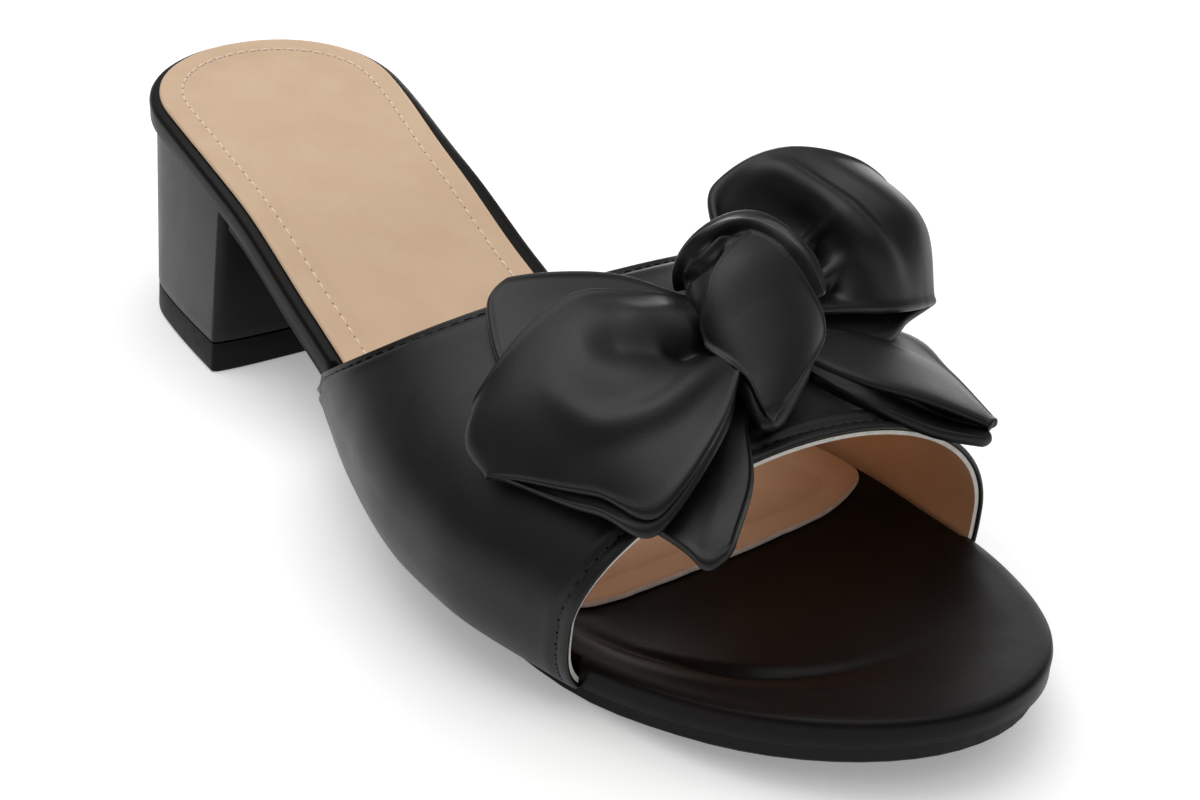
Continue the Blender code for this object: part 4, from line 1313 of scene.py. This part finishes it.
@dataclass
class Upper:
    """The broad band over the foot: folded outer leather, lining and two edge seams."""

    last: Last
    around_steps: int = 220
    forward_steps: int = 46
    shell: float = 0.0010
    wall: float = 0.0018
    edge_radius: float = 0.0006
    rear_groove: float = 0.0014
    front_groove: float = 0.0024
    groove_width: float = 0.0006
    groove_depth: float = 0.00045
    puff: float = 0.00022
    puff_beyond: float = 0.0016
    puff_width: float = 0.0010
    groove_fade: float = 12.0
    margin_width: float = 0.0050

    def dress(self) -> None:
        """Make the shell, its lining and the stitches."""
        self.shell_and_lining()
        LOG.info("upper: shell, lining, stitches")

    def face(self, forward: np.ndarray) -> tuple[np.ndarray, np.ndarray, np.ndarray]:
        """Return the outer face, its normals and each point's distance from its edges.

        Args:
            forward: Shares from the rear edge to the front edge.

        Returns:
            Points, normals and distances, in rows from rear to front.
        """
        around = np.linspace(0.0, 1.0, self.around_steps + 1)
        grid_around, grid_forward = np.meshgrid(around, forward)
        face = self.last.upper_face(grid_around, grid_forward)
        rows = np.linalg.norm(np.diff(face, axis=0), axis=2)
        run = np.concatenate([np.zeros((1, face.shape[1])), np.cumsum(rows, axis=0)])
        away = np.minimum(run, run[-1] - run)
        return face, grid_normals(face), away

    def shell_and_lining(self) -> None:
        """Add the outer leather with rounded folded edges, the lining inside it and the seams."""
        forward = rounded_places(0.075, 0.0060, self.forward_steps, 14)
        face, normals, away = self.face(forward)
        at = np.where(forward < 0.5, self.rear_groove, self.front_groove)[:, None]
        groove = -self.groove_depth * np.exp(-(((away - at) / self.groove_width) ** 2))
        puff = self.puff * np.exp(-(((away - at - self.puff_beyond) / self.puff_width) ** 2))
        column = np.arange(face.shape[1])
        clear = eased(np.minimum(column, column[::-1]) / self.groove_fade)[None, :]
        raised = face + normals * ((groove + puff) * clear)[..., None]
        share = np.sqrt(np.clip(1.0 - (1.0 - np.minimum(away / self.edge_radius, 1.0)) ** 2, 0.0, 1.0))
        half = self.shell / 2.0
        over = raised - normals * (half - half * share)[..., None]
        under = face - normals * (half + half * share)[..., None]
        over = self.with_margin(over, 0.0)
        under = self.with_margin(under, self.shell)
        piece = add_pillow("upper_shell", over, under, UPPER_LEATHER)
        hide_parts("upper")
        self.lining(normals, face, forward)
        self.seams(raised, normals, away)

    def with_margin(self, grid: np.ndarray, rise: float) -> np.ndarray:
        """Return the grid with the margin added that is turned in under the footbed.

        Args:
            grid: Points of one face of the shell.
            rise: Height over the margin's seat.

        Returns:
            The wider grid.
        """
        last = self.last
        columns: list[np.ndarray] = []
        for foot, side in ((grid[:, 0], -1.0), (grid[:, -1], 1.0)):
            x = last.sole_half(foot[:, 1], side) - side * self.margin_width
            z = last.below_rim(foot[:, 1], last.footbed) + rise
            columns.append(np.column_stack([x, foot[:, 1], z])[:, None, :])
        return np.concatenate([columns[0], grid, columns[1]], axis=1)

    def lining(self, normals: np.ndarray, face: np.ndarray, forward: np.ndarray) -> None:
        """Add the tan lining, whose cut edges show its pale backing.

        Args:
            normals: The face's normals.
            face: Points of the upper's outer face.
            forward: Shares from the rear edge to the front edge.
        """
        keep = (forward > 0.004) & (forward < 0.996)
        rows = face[keep]
        inward = normals[keep]
        outer = rows - inward * (self.shell + 0.00003)
        inner = rows - inward * self.wall
        count_rows, count_columns = outer.shape[:2]
        first = np.arange(count_rows * count_columns).reshape(count_rows, count_columns)
        second = first + count_rows * count_columns
        faces = quads(first) + quads(second, True)
        finish_of = [0] * len(faces)
        border = [(0, j) for j in range(count_columns)]
        border += [(i, count_columns - 1) for i in range(1, count_rows)]
        border += [(count_rows - 1, j) for j in range(count_columns - 2, -1, -1)]
        border += [(i, 0) for i in range(count_rows - 2, 0, -1)]
        for here, there in zip(border, border[1:] + border[:1]):
            faces.append((int(first[here]), int(first[there]), int(second[there]), int(second[here])))
            finish_of.append(1)
        points = np.concatenate([outer.reshape(-1, 3), inner.reshape(-1, 3)])
        # The lining's tan is brighter than the sock's as painted light
        add_piece("upper_lining", points, faces, [LINING_LEATHER_PAINTED_LIGHT, BACKING_EDGE], finish_of)

    def seams(self, raised: np.ndarray, normals: np.ndarray, away: np.ndarray) -> None:
        """Add one row of stitches along the rear edge and one along the front.

        Args:
            raised: Points of the upper's outer face.
            normals: Its normals.
            away: Each point's distance from its edges.
        """
        middle = len(raised) // 2
        trim = slice(4, -4)
        rows_of = {
            "upper_stitches_rear": (
                list(range(middle)), self.rear_groove, Seam(0.0024, 0.0013, 0.00040, 0.00006, 0.00046, 1.9)
            ),
            "upper_stitches_front": (
                list(range(middle, len(raised))), self.front_groove,
                Seam(0.0024, 0.0015, 0.00036, 0.00010, 0.00020, 1.3),
            ),
        }
        for name, (numbers, at, seam) in rows_of.items():
            part = away[numbers]
            order = np.argsort(part, axis=0)
            path: list[np.ndarray] = []
            ups: list[np.ndarray] = []
            for column in range(raised.shape[1]):
                line = part[order[:, column], column]
                spots = raised[numbers][order[:, column], column]
                turned = normals[numbers][order[:, column], column]
                path.append([np.interp(at, line, spots[:, k]) for k in range(3)])
                ups.append([np.interp(at, line, turned[:, k]) for k in range(3)])
            # The needle holes take a black painted shade
            finishes = [BLACK_THREAD, UPPER_HOLE_PAINTED_SHADE]
            seam.build(name, np.array(path)[trim], np.array(ups)[trim], finishes, Slot.UPPER)


@dataclass(frozen=True)
class BowPlace:
    """Where the bow sits on the upper, and the sizes its shares count in."""

    at: float = 0.728
    centre: float = 0.0030
    half_span: float = 0.0500
    ribbon_width: float = 0.0520
    lift: float = 0.0200
    seat: float = 0.0010

    def points(self, last: Last, shares: np.ndarray, follow: float) -> np.ndarray:
        """Return the places of bow points.

        Args:
            last: The foot form.
            shares: Out, back and lift shares.
            follow: 1 where their height follows the upper, 0 where it is level with its crown.

        Returns:
            The points in metres.
        """
        x = self.centre + shares[..., 0] * self.half_span
        y = last.place(self.at) + shares[..., 1] * self.ribbon_width
        crown = last.upper_top(np.full_like(x, last.upper_centre), y)
        base = crown + follow * (last.upper_top(x, y) - crown)
        return np.stack([x, y, base + self.seat + shares[..., 2] * self.lift], axis=-1)


class Hand(Enum):
    """How a ribbon's rows run."""

    LOOP = "rows across the ribbon, from the knot round the loop and back"
    TAIL = "ribs from under the knot to the cut end"


@dataclass
class Ribbon:
    """One loop or tail of the bow: a soft doubled ribbon with rolled edges and drawn folds.

    Each row of its table holds the out, back and lift shares of its points, three numbers each.
    """

    name: str
    node: str
    hand: Hand
    rows: tuple[tuple[float, ...], ...]
    follow: float
    long: float
    wide: float
    along: int = 150
    across: int = 70
    thickness: float = 0.0015
    edge_radius: float = 0.0009
    bead: float = 0.00026
    bead_at: float = 0.0010
    bead_width: float = 0.0007
    turn_at: float = 0.42
    turn_width: float = 0.10
    corner_start: float = 0.004
    corner_stop: float = 0.004
    corner_long: float = 0.004
    folds: tuple[Stroke, ...] = ()
    under_folds: tuple[Stroke, ...] = ()

    def build(self, last: Last, place: BowPlace) -> None:
        """Add the ribbon.

        Args:
            last: The foot form.
            place: Where the bow sits.
        """
        table = np.array(self.rows).reshape(len(self.rows), -1, 3)
        s = rounded_places(self.long, self.edge_radius, self.along)
        t = rounded_places(self.wide, self.edge_radius, self.across)
        if self.hand is Hand.LOOP:
            strands = curve_at(table, s)
            shares = np.stack([curve_at(row, t) for row in strands])
        else:
            strands = curve_at(table.transpose(1, 0, 2), s)
            shares = self.round_corners(np.stack([curve_at(row, t) for row in strands]), s, t)
        middle = place.points(last, shares, self.follow)
        normals = grid_normals(middle)
        upward = np.sign(normals[len(s) // 4, len(t) // 2, 2]) or 1.0
        flat = shares[..., :2] * (place.half_span, place.ribbon_width)
        top_part = 1.0
        if self.hand is Hand.LOOP:
            top_part = (1.0 - eased((s - self.turn_at) / self.turn_width))[:, None]
        relief = sum((stroke.lift(flat) for stroke in self.folds), np.zeros(flat.shape[:2]))
        lower = sum((stroke.lift(flat) for stroke in self.under_folds), np.zeros(flat.shape[:2]))
        middle = middle + normals * upward * (relief * top_part + lower * (1.0 - top_part))[..., None]
        normals = grid_normals(middle)
        run_s = s[:, None] * self.long
        run_t = t[None, :] * self.wide
        near = np.minimum(run_t, self.wide - run_t)
        if self.hand is Hand.TAIL:
            near = np.minimum(near, np.minimum(run_s, self.long - run_s))
        share = edge_share(s, self.long, self.edge_radius)[:, None]
        share = share * edge_share(t, self.wide, self.edge_radius)[None, :]
        roll = self.bead * np.exp(-(((near - self.bead_at) / self.bead_width) ** 2))
        half = (self.thickness / 2.0 + roll) * share
        over = middle + normals * half[..., None]
        under = middle - normals * half[..., None]
        piece = add_pillow(self.name, over, under, BOW_LEATHER)
        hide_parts(self.node)

    def round_corners(self, shares: np.ndarray, s: np.ndarray, t: np.ndarray) -> np.ndarray:
        """Return a tail's grid with its cut end's two corners rounded.

        Args:
            shares: The grid's bow shares, its last row along the cut end.
            s: Shares along the tail.
            t: Shares across it.

        Returns:
            The grid, drawn back toward both corners.
        """
        made = shares.copy()
        for column, place in enumerate(t):
            back = 0.0
            for away, radius in ((place, self.corner_start), (1.0 - place, self.corner_stop)):
                part = min(1.0, max(0.0, 1.0 - away * self.wide / radius))
                back += self.corner_long * radius / 0.004 / self.long * (1.0 - math.sqrt(1.0 - part * part))
            for k in range(3):
                made[:, column, k] = np.interp(s * (1.0 - min(back, 0.6)), s, shares[:, column, k])
        return made


def strokes(place: BowPlace, rows: Sequence[tuple[Any, float, float]]) -> tuple[Stroke, ...]:
    """Return folds drawn in the bow's shares, with width and height in millimetres.

    Args:
        place: Where the bow sits.
        rows: Each fold's path in out and back shares, its width and its height.

    Returns:
        The folds on the flat layout in metres.
    """
    made: list[Stroke] = []
    for path, width, height in rows:
        flat = tuple((out * place.half_span, back * place.ribbon_width) for out, back in path)
        made.append(Stroke(flat, width * MM, height * MM))
    return tuple(made)


@dataclass
class Knot:
    """The knot: a tight round of ribbon with a pointed front layer and wrapped folds."""

    place: BowPlace
    around: int = 260
    along: int = 230
    swell: float = 0.0004
    degree: float = 0.00018
    # Columns: back share, out share, half width, bottom and top
    rows: tuple[tuple[float, ...], ...] = (
        (0.28, 0.10, 0.02, 0.22, 0.30),
        (0.26, 0.10, 0.07, 0.10, 0.42),
        (0.20, 0.10, 0.16, 0.06, 0.66),
        (0.10, 0.08, 0.22, 0.05, 0.84),
        (-0.04, 0.03, 0.25, 0.05, 0.84),
        (-0.18, -0.03, 0.22, 0.05, 0.66),
        (-0.31, -0.11, 0.15, 0.05, 0.44),
        (-0.42, -0.22, 0.05, 0.06, 0.20),
        (-0.435, -0.235, 0.01, 0.10, 0.15),
    )

    def flat(self, spots: Sequence[tuple[float, float]]) -> tuple[tuple[float, float], ...]:
        """Return spots given by angle and back share on the flat layout in metres."""
        return tuple(
            ((angle - 90.0) * self.degree, back * self.place.ribbon_width) for angle, back in spots
        )

    def relief(self, spots: np.ndarray) -> np.ndarray:
        """Return the rise that the layers and folds give the knot's surface.

        Args:
            spots: Places on the flat layout.

        Returns:
            The rise of each.
        """
        front = Patch(
            self.flat([
                (90, 0.048), (79, 0.004), (68, -0.070), (55, -0.120), (39, -0.166), (22, -0.200),
                (12, -0.240), (22, -0.295), (40, -0.350), (60, -0.400), (100, -0.435), (138, -0.415),
                (150, -0.330), (160, -0.280), (172, -0.210), (178, -0.150), (174, -0.105), (162, -0.082),
                (151, -0.066), (141, -0.040), (130, -0.020), (109, 0.022),
            ]),
            1.2 * MM, 0.6 * MM, 0.30 * MM, 0.45 * MM,
        )
        wrap = Patch(
            self.flat([
                (205, 0.205), (172, 0.190), (146, 0.170), (124, 0.156), (100, 0.148), (80, 0.134),
                (60, 0.105), (44, 0.058), (30, 0.000), (20, -0.070), (18, -0.130), (28, -0.158),
                (40, -0.132), (52, -0.092), (64, -0.048), (75, 0.015), (86, 0.062), (100, 0.085),
                (122, 0.100), (142, 0.118), (170, 0.150), (200, 0.165),
            ]),
            1.5 * MM, 0.6 * MM, 0.45 * MM, 0.55 * MM,
        )
        second = Stroke(
            self.flat([(176, 0.100), (160, 0.078), (140, 0.056), (126, 0.058), (114, 0.070), (102, 0.062)]),
            0.65 * MM, 1.3 * MM, 0.25,
        )
        groove = Stroke(
            self.flat([(185, 0.150), (168, 0.125), (142, 0.088), (122, 0.082), (106, 0.078), (92, 0.060)]),
            0.40 * MM, -1.1 * MM, 0.2,
        )
        hollow = Stroke(
            self.flat([(172, 0.072), (160, 0.054), (141, 0.026), (126, 0.018), (112, 0.044)]),
            0.45 * MM, -1.1 * MM, 0.2,
        )
        rolled = Stroke(
            self.flat([
                (158, 0.062), (174, 0.040), (184, 0.000), (188, -0.060), (183, -0.130), (168, -0.215),
                (152, -0.310),
            ]),
            0.60 * MM, 0.60 * MM, 0.15,
        )
        parts = (front, wrap, second, groove, hollow, rolled)
        return sum((part.lift(spots) for part in parts), np.zeros(spots.shape[:-1]))

    def build(self, last: Last) -> None:
        """Add the knot.

        Args:
            last: The foot form.
        """
        place = self.place
        table = np.array(self.rows)[::-1]
        columns = [Profile(list(zip(table[:, 0], table[:, k]))) for k in range(1, 5)]
        backs = table[-1, 0] + (table[0, 0] - table[-1, 0]) * tip_shares(self.along)
        turn = np.radians(-90.0 + 360.0 * np.arange(self.around) / self.around)
        out, half, bottom, top = (column(backs) for column in columns)
        y = last.place(place.at) + backs * place.ribbon_width
        x = place.centre + out * place.half_span
        base = last.upper_top(x, y) + place.seat
        low = base + bottom * place.lift
        high = base + top * place.lift
        wide = half * place.half_span
        grid = np.stack([
            x[:, None] + wide[:, None] * np.cos(turn),
            np.repeat(y[:, None], self.around, axis=1),
            ((low + high) / 2.0)[:, None] + ((high - low) / 2.0)[:, None] * np.sin(turn),
        ], axis=-1)
        wrapped = np.concatenate([grid[:, -1:], grid, grid[:, :1]], axis=1)
        normals = -grid_normals(wrapped)[:, 1:-1]
        centre = grid.mean(axis=1, keepdims=True)
        facing = ((grid - centre) * normals).sum(-1).mean()
        normals = normals * (1.0 if facing > 0 else -1.0)
        angles = np.degrees(turn)
        spots = np.stack([
            np.repeat(((angles - 90.0) * self.degree)[None, :], len(backs), axis=0),
            np.repeat((backs * place.ribbon_width)[:, None], self.around, axis=1),
        ], axis=-1)
        fade = eased((backs + 0.44) / 0.04) * eased((0.29 - backs) / 0.04)
        rise = self.relief(spots) * fade[:, None]
        grid = grid + normals * (rise + self.swell)[..., None]
        numbers = np.arange(grid.shape[0] * self.around).reshape(grid.shape[0], self.around)
        closed = np.concatenate([numbers, numbers[:, :1]], axis=1)
        faces = quads(closed)
        faces.append(tuple(int(number) for number in numbers[0]))
        faces.append(tuple(int(number) for number in numbers[-1][::-1]))
        piece = add_piece("bow_knot_wrap", grid.reshape(-1, 3), faces, [BOW_LEATHER], None, 80.0)
        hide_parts("bow_knot")


@dataclass
class Bow:
    """The tied bow: two loops, two tails and the knot.

    The folds are rows of a path in out and back shares, a width and a height in millimetres.
    """

    last: Last
    place: BowPlace = field(default_factory=BowPlace)

    def dress(self) -> None:
        """Make the five pieces."""
        self.outer_loop().build(self.last, self.place)
        self.inner_loop().build(self.last, self.place)
        self.outer_tail().build(self.last, self.place)
        self.inner_tail().build(self.last, self.place)
        Knot(self.place).build(self.last)
        LOG.info("bow: two loops, two tails, knot")

    def outer_loop(self) -> Ribbon:
        """Return the loop on the wearer's outer side.

        Returns:
            The ribbon.
        """
        rows = (
            (-0.12, 0.06, 0.30, -0.12, -0.05, 0.42, -0.12, -0.18, 0.40),
            (-0.36, 0.13, 0.46, -0.42, -0.12, 0.51, -0.45, -0.44, 0.40),
            (-0.54, 0.20, 0.53, -0.62, -0.10, 0.60, -0.76, -0.53, 0.40),
            (-0.76, 0.18, 0.52, -0.84, -0.07, 0.56, -0.86, -0.33, 0.41),
            (-0.94, 0.14, 0.40, -1.02, 0.06, 0.42, -1.02, -0.07, 0.37),
            (-0.93, 0.14, 0.24, -0.99, 0.05, 0.22, -1.00, -0.08, 0.29),
            (-0.76, 0.14, 0.20, -0.80, -0.08, 0.18, -0.87, -0.345, 0.325),
            (-0.50, 0.16, 0.18, -0.58, -0.10, 0.17, -0.77, -0.545, 0.325),
            (-0.32, 0.10, 0.20, -0.36, -0.10, 0.20, -0.44, -0.44, 0.32),
            (-0.12, 0.08, 0.22, -0.12, -0.04, 0.24, -0.12, -0.16, 0.22),
        )
        folds = strokes(self.place, (
            (((-0.04, -0.13), (-0.20, -0.145), (-0.32, -0.15), (-0.44, -0.12)), 3.0, -3.9),
            (((-0.28, -0.14), (-0.44, -0.12), (-0.58, -0.06), (-0.68, -0.01)), 4.4, -2.2),
            (((-0.20, -0.21), (-0.34, -0.25), (-0.54, -0.30), (-0.66, -0.29), (-0.77, -0.22),
              (-0.82, -0.10), (-0.82, -0.02)), 2.0, 1.2),
            (((-0.24, -0.02), (-0.38, 0.00), (-0.50, 0.04)), 2.6, 0.5),
        ))
        return Ribbon(
            "bow_outer_loop", "bow_loop_outer", Hand.LOOP, rows, 1.0, 0.105, 0.040, folds=folds
        )

    def inner_loop(self) -> Ribbon:
        """Return the loop on the wearer's inner side, which stands up.

        Returns:
            The ribbon.
        """
        rows = (
            (0.13, 0.28, 0.46, 0.18, 0.05, 0.42, 0.16, -0.10, 0.30),
            (0.25, 0.43, 0.66, 0.37, 0.11, 0.42, 0.36, -0.12, 0.22),
            (0.52, 0.40, 0.92, 0.58, 0.02, 0.74, 0.56, -0.13, 0.10),
            (0.77, 0.29, 0.86, 0.80, -0.01, 0.69, 0.75, -0.13, 0.02),
            (0.89, 0.20, 0.62, 0.96, 0.06, 0.34, 0.89, -0.09, -0.10),
            (0.81, 0.32, 0.46, 0.83, 0.14, 0.16, 0.75, -0.11, -0.14),
            (0.56, 0.40, 0.42, 0.58, 0.15, 0.18, 0.56, -0.18, -0.10),
            (0.34, 0.34, 0.34, 0.36, 0.12, 0.20, 0.34, -0.15, 0.03),
            (0.16, 0.20, 0.28, 0.18, 0.05, 0.25, 0.16, -0.10, 0.20),
        )
        folds = strokes(self.place, (
            (((0.30, 0.42), (0.44, 0.34), (0.50, 0.20), (0.53, 0.08), (0.57, -0.02),
              (0.66, -0.09), (0.80, -0.12)), 2.2, 2.0),
            (((0.52, 0.34), (0.58, 0.22), (0.62, 0.08), (0.65, -0.02), (0.72, -0.08),
              (0.82, -0.08)), 2.4, -1.2),
            (((0.16, 0.33), (0.30, 0.26), (0.40, 0.16), (0.46, 0.02)), 5.0, -2.8),
            (((0.24, 0.06), (0.36, 0.06), (0.46, 0.05)), 1.7, -2.8),
            (((0.24, -0.05), (0.36, -0.05), (0.45, -0.05)), 1.7, -2.8),
            (((0.30, 0.12), (0.42, 0.11), (0.52, 0.07)), 0.8, 1.0),
            (((0.26, 0.00), (0.38, 0.00), (0.50, -0.01)), 0.9, 0.9),
        ))
        return Ribbon(
            "bow_inner_loop", "bow_loop_inner", Hand.LOOP, rows, 0.0, 0.095, 0.030, folds=folds
        )

    def outer_tail(self) -> Ribbon:
        """Return the tail under the outer loop, fanned over the upper.

        Returns:
            The ribbon.
        """
        rows = (
            (-0.06, 0.20, 0.08, -0.22, 0.35, 0.18, -0.42, 0.49, 0.18, -0.57, 0.61, 0.10),
            (-0.10, 0.10, 0.04, -0.30, 0.24, 0.04, -0.50, 0.37, 0.04, -0.68, 0.48, 0.06),
            (-0.12, 0.00, 0.04, -0.34, 0.07, 0.04, -0.57, 0.15, 0.04, -0.78, 0.22, 0.03),
            (-0.14, -0.10, 0.04, -0.36, -0.13, 0.03, -0.58, -0.15, 0.03, -0.79, -0.18, 0.03),
            (-0.15, -0.19, 0.04, -0.34, -0.29, 0.04, -0.55, -0.43, 0.05, -0.73, -0.575, 0.12),
            (-0.15, -0.22, 0.05, -0.31, -0.34, 0.05, -0.51, -0.53, 0.08, -0.72, -0.69, 0.18),
            (-0.14, -0.25, 0.07, -0.27, -0.36, 0.07, -0.44, -0.575, 0.10, -0.655, -0.725, 0.19),
        )
        return Ribbon(
            "bow_outer_tail", "bow_tail_outer", Hand.TAIL, rows, 1.0, 0.042, 0.075,
            along=90, across=150, corner_start=0.007, corner_stop=0.003,
        )

    def inner_tail(self) -> Ribbon:
        """Return the tail that points forward over the inner side.

        Returns:
            The ribbon.
        """
        rows = (
            (0.22, 0.06, -0.02, 0.76, -0.10, -0.30, 0.78, -0.30, -0.35, 0.67, -0.59, -0.31),
            (0.21, 0.00, 0.00, 0.50, -0.14, -0.06, 0.70, -0.31, -0.25, 0.665, -0.60, -0.30),
            (0.20, -0.02, 0.04, 0.45, -0.18, 0.00, 0.68, -0.33, -0.20, 0.66, -0.61, -0.29),
            (0.19, -0.08, 0.06, 0.40, -0.25, 0.02, 0.60, -0.39, -0.14, 0.65, -0.62, -0.27),
            (0.15, -0.18, 0.07, 0.29, -0.36, 0.03, 0.46, -0.48, -0.09, 0.635, -0.615, -0.265),
            (0.14, -0.19, 0.03, 0.28, -0.35, -0.01, 0.49, -0.44, -0.19, 0.65, -0.61, -0.295),
            (0.13, -0.21, 0.00, 0.27, -0.37, -0.06, 0.50, -0.46, -0.31, 0.63, -0.61, -0.34),
            (0.13, -0.23, -0.02, 0.26, -0.40, -0.09, 0.45, -0.53, -0.29, 0.61, -0.64, -0.34),
            (0.13, -0.25, -0.02, 0.24, -0.43, -0.10, 0.40, -0.555, -0.25, 0.58, -0.66, -0.34),
        )
        return Ribbon(
            "bow_inner_tail", "bow_tail_inner", Hand.TAIL, rows, 0.0, 0.048, 0.038,
            along=100, across=140, corner_start=0.003, corner_stop=0.003,
        )


@dataclass
class Studio:
    """The camera at the photograph's angle, a pale floor and soft lights."""

    azimuth: float = -39.14
    elevation: float = 27.94
    roll: float = 3.09
    spot: tuple[float, float, float] = (-0.18162, -0.19545, 0.17569)
    lens: float = 51.795
    sensor: float = 36.0
    floor_size: float = 12.0
    band_side: tuple[float, float, float] = (0.63, 0.77, 0.0)
    band_glow: float = 0.50
    side_glow: float = 0.20
    top_glow: float = 1.20

    def set_up(self) -> None:
        """Make the camera, the floor, the world and the lights."""
        self.camera()
        self.floor()
        self.surroundings()
        self.softbox("overhead_softbox", (-0.05, 0.35, 1.10), (0.0, 0.0, 0.03), 1.0, 1.0, 4.5)
        self.softbox("rear_right_strip", (1.10, 0.85, 0.22), (0.0, 0.0, 0.03), 1.1, 0.3, 4.0)
        view = bpy.context.scene.view_settings
        view.view_transform = "Standard"
        LOG.info("studio: camera, floor, two softboxes")

    def camera(self) -> None:
        """Make the camera."""
        turn, climb, roll = (math.radians(a) for a in (self.azimuth, self.elevation, self.roll))
        back = Vector(
            (math.sin(turn) * math.cos(climb), -math.cos(turn) * math.cos(climb), math.sin(climb))
        )
        right = (-back).cross(Vector((0.0, 0.0, 1.0))).normalized()
        up = right.cross(-back)
        level = math.cos(roll) * right + math.sin(roll) * up
        rise = -math.sin(roll) * right + math.cos(roll) * up
        data = bpy.data.cameras.new("product_camera")
        data.lens = self.lens
        data.sensor_width = self.sensor
        data.clip_start = 0.01
        camera = bpy.data.objects.new("product_camera", data)
        matrix = Matrix((level, rise, back)).transposed().to_4x4()
        matrix.translation = Vector(self.spot)
        camera.matrix_world = matrix
        bpy.context.scene.collection.objects.link(camera)
        bpy.context.scene.camera = camera

    def floor(self) -> None:
        """Add the pale floor."""
        half = self.floor_size / 2.0
        mesh = bpy.data.meshes.new("studio_floor")
        corners = [(-half, -half, 0.0), (half, -half, 0.0), (half, half, 0.0), (-half, half, 0.0)]
        mesh.from_pydata(corners, [], [(0, 1, 2, 3)])
        mesh.materials.append(LIGHT_TABLE.material())
        floor = bpy.data.objects.new("studio_floor", mesh)
        bpy.context.scene.collection.objects.link(floor)

    def surroundings(self) -> None:
        """Give the world dim sides, a bright top and a bright low band behind the shoe."""
        world = bpy.data.worlds.new("white_tent")
        world.use_nodes = True
        tree = world.node_tree
        tree.nodes.clear()
        way = add_node(tree, "ShaderNodeTexCoord", {}, {}).outputs["Generated"]
        height = add_node(tree, "ShaderNodeSeparateXYZ", {}, {"Vector": way}).outputs["Z"]
        toward = add_node(
            tree, "ShaderNodeVectorMath", {"operation": "DOT_PRODUCT"}, {0: way, 1: self.band_side}
        ).outputs["Value"]
        top = ranged(tree, height, (0.55, 0.95), (self.side_glow, self.top_glow))
        near = ranged(tree, toward, (0.30, 0.95), (0.0, self.band_glow))
        low = ranged(tree, height, (0.15, 0.45), (1.0, 0.0))
        band = add_node(tree, "ShaderNodeMath", {"operation": "MULTIPLY"}, {0: near, 1: low})
        lit = {0: top, 1: band.outputs["Value"]}
        strength = add_node(tree, "ShaderNodeMath", {"operation": "ADD"}, lit).outputs["Value"]
        tint = {"Color": linear("#ffffff"), "Strength": strength}
        glow = add_node(tree, "ShaderNodeBackground", {}, tint)
        add_node(tree, "ShaderNodeOutputWorld", {}, {"Surface": glow.outputs["Background"]})
        bpy.context.scene.world = world

    def softbox(
        self,
        name: str,
        spot: tuple[float, float, float],
        target: tuple[float, float, float],
        width: float,
        height: float,
        power: float,
    ) -> None:
        """Add one rectangular light that faces a target.

        Args:
            name: Its name.
            spot: Where it stands.
            target: What it faces.
            width: Its width.
            height: Its height.
            power: Its power in watts.
        """
        data = bpy.data.lights.new(name, "AREA")
        data.shape = "RECTANGLE"
        data.size = width
        data.size_y = height
        data.energy = power
        light = bpy.data.objects.new(name, data)
        light.location = spot
        away = Vector(spot) - Vector(target)
        light.rotation_euler = away.to_track_quat("Z", "Y").to_euler()
        bpy.context.scene.collection.objects.link(light)


def main() -> None:
    """Make and dress the shoe from the floor up, then the studio."""
    logging.basicConfig(level=logging.INFO, format="%(name)s: %(message)s")
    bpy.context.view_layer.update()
    last = Last()
    Studio().set_up()
    SoleUnit(last).dress()
    Heel(last).dress()
    Upper(last).dress()
    Bow(last).dress()


if __name__ == "__main__":
    main()
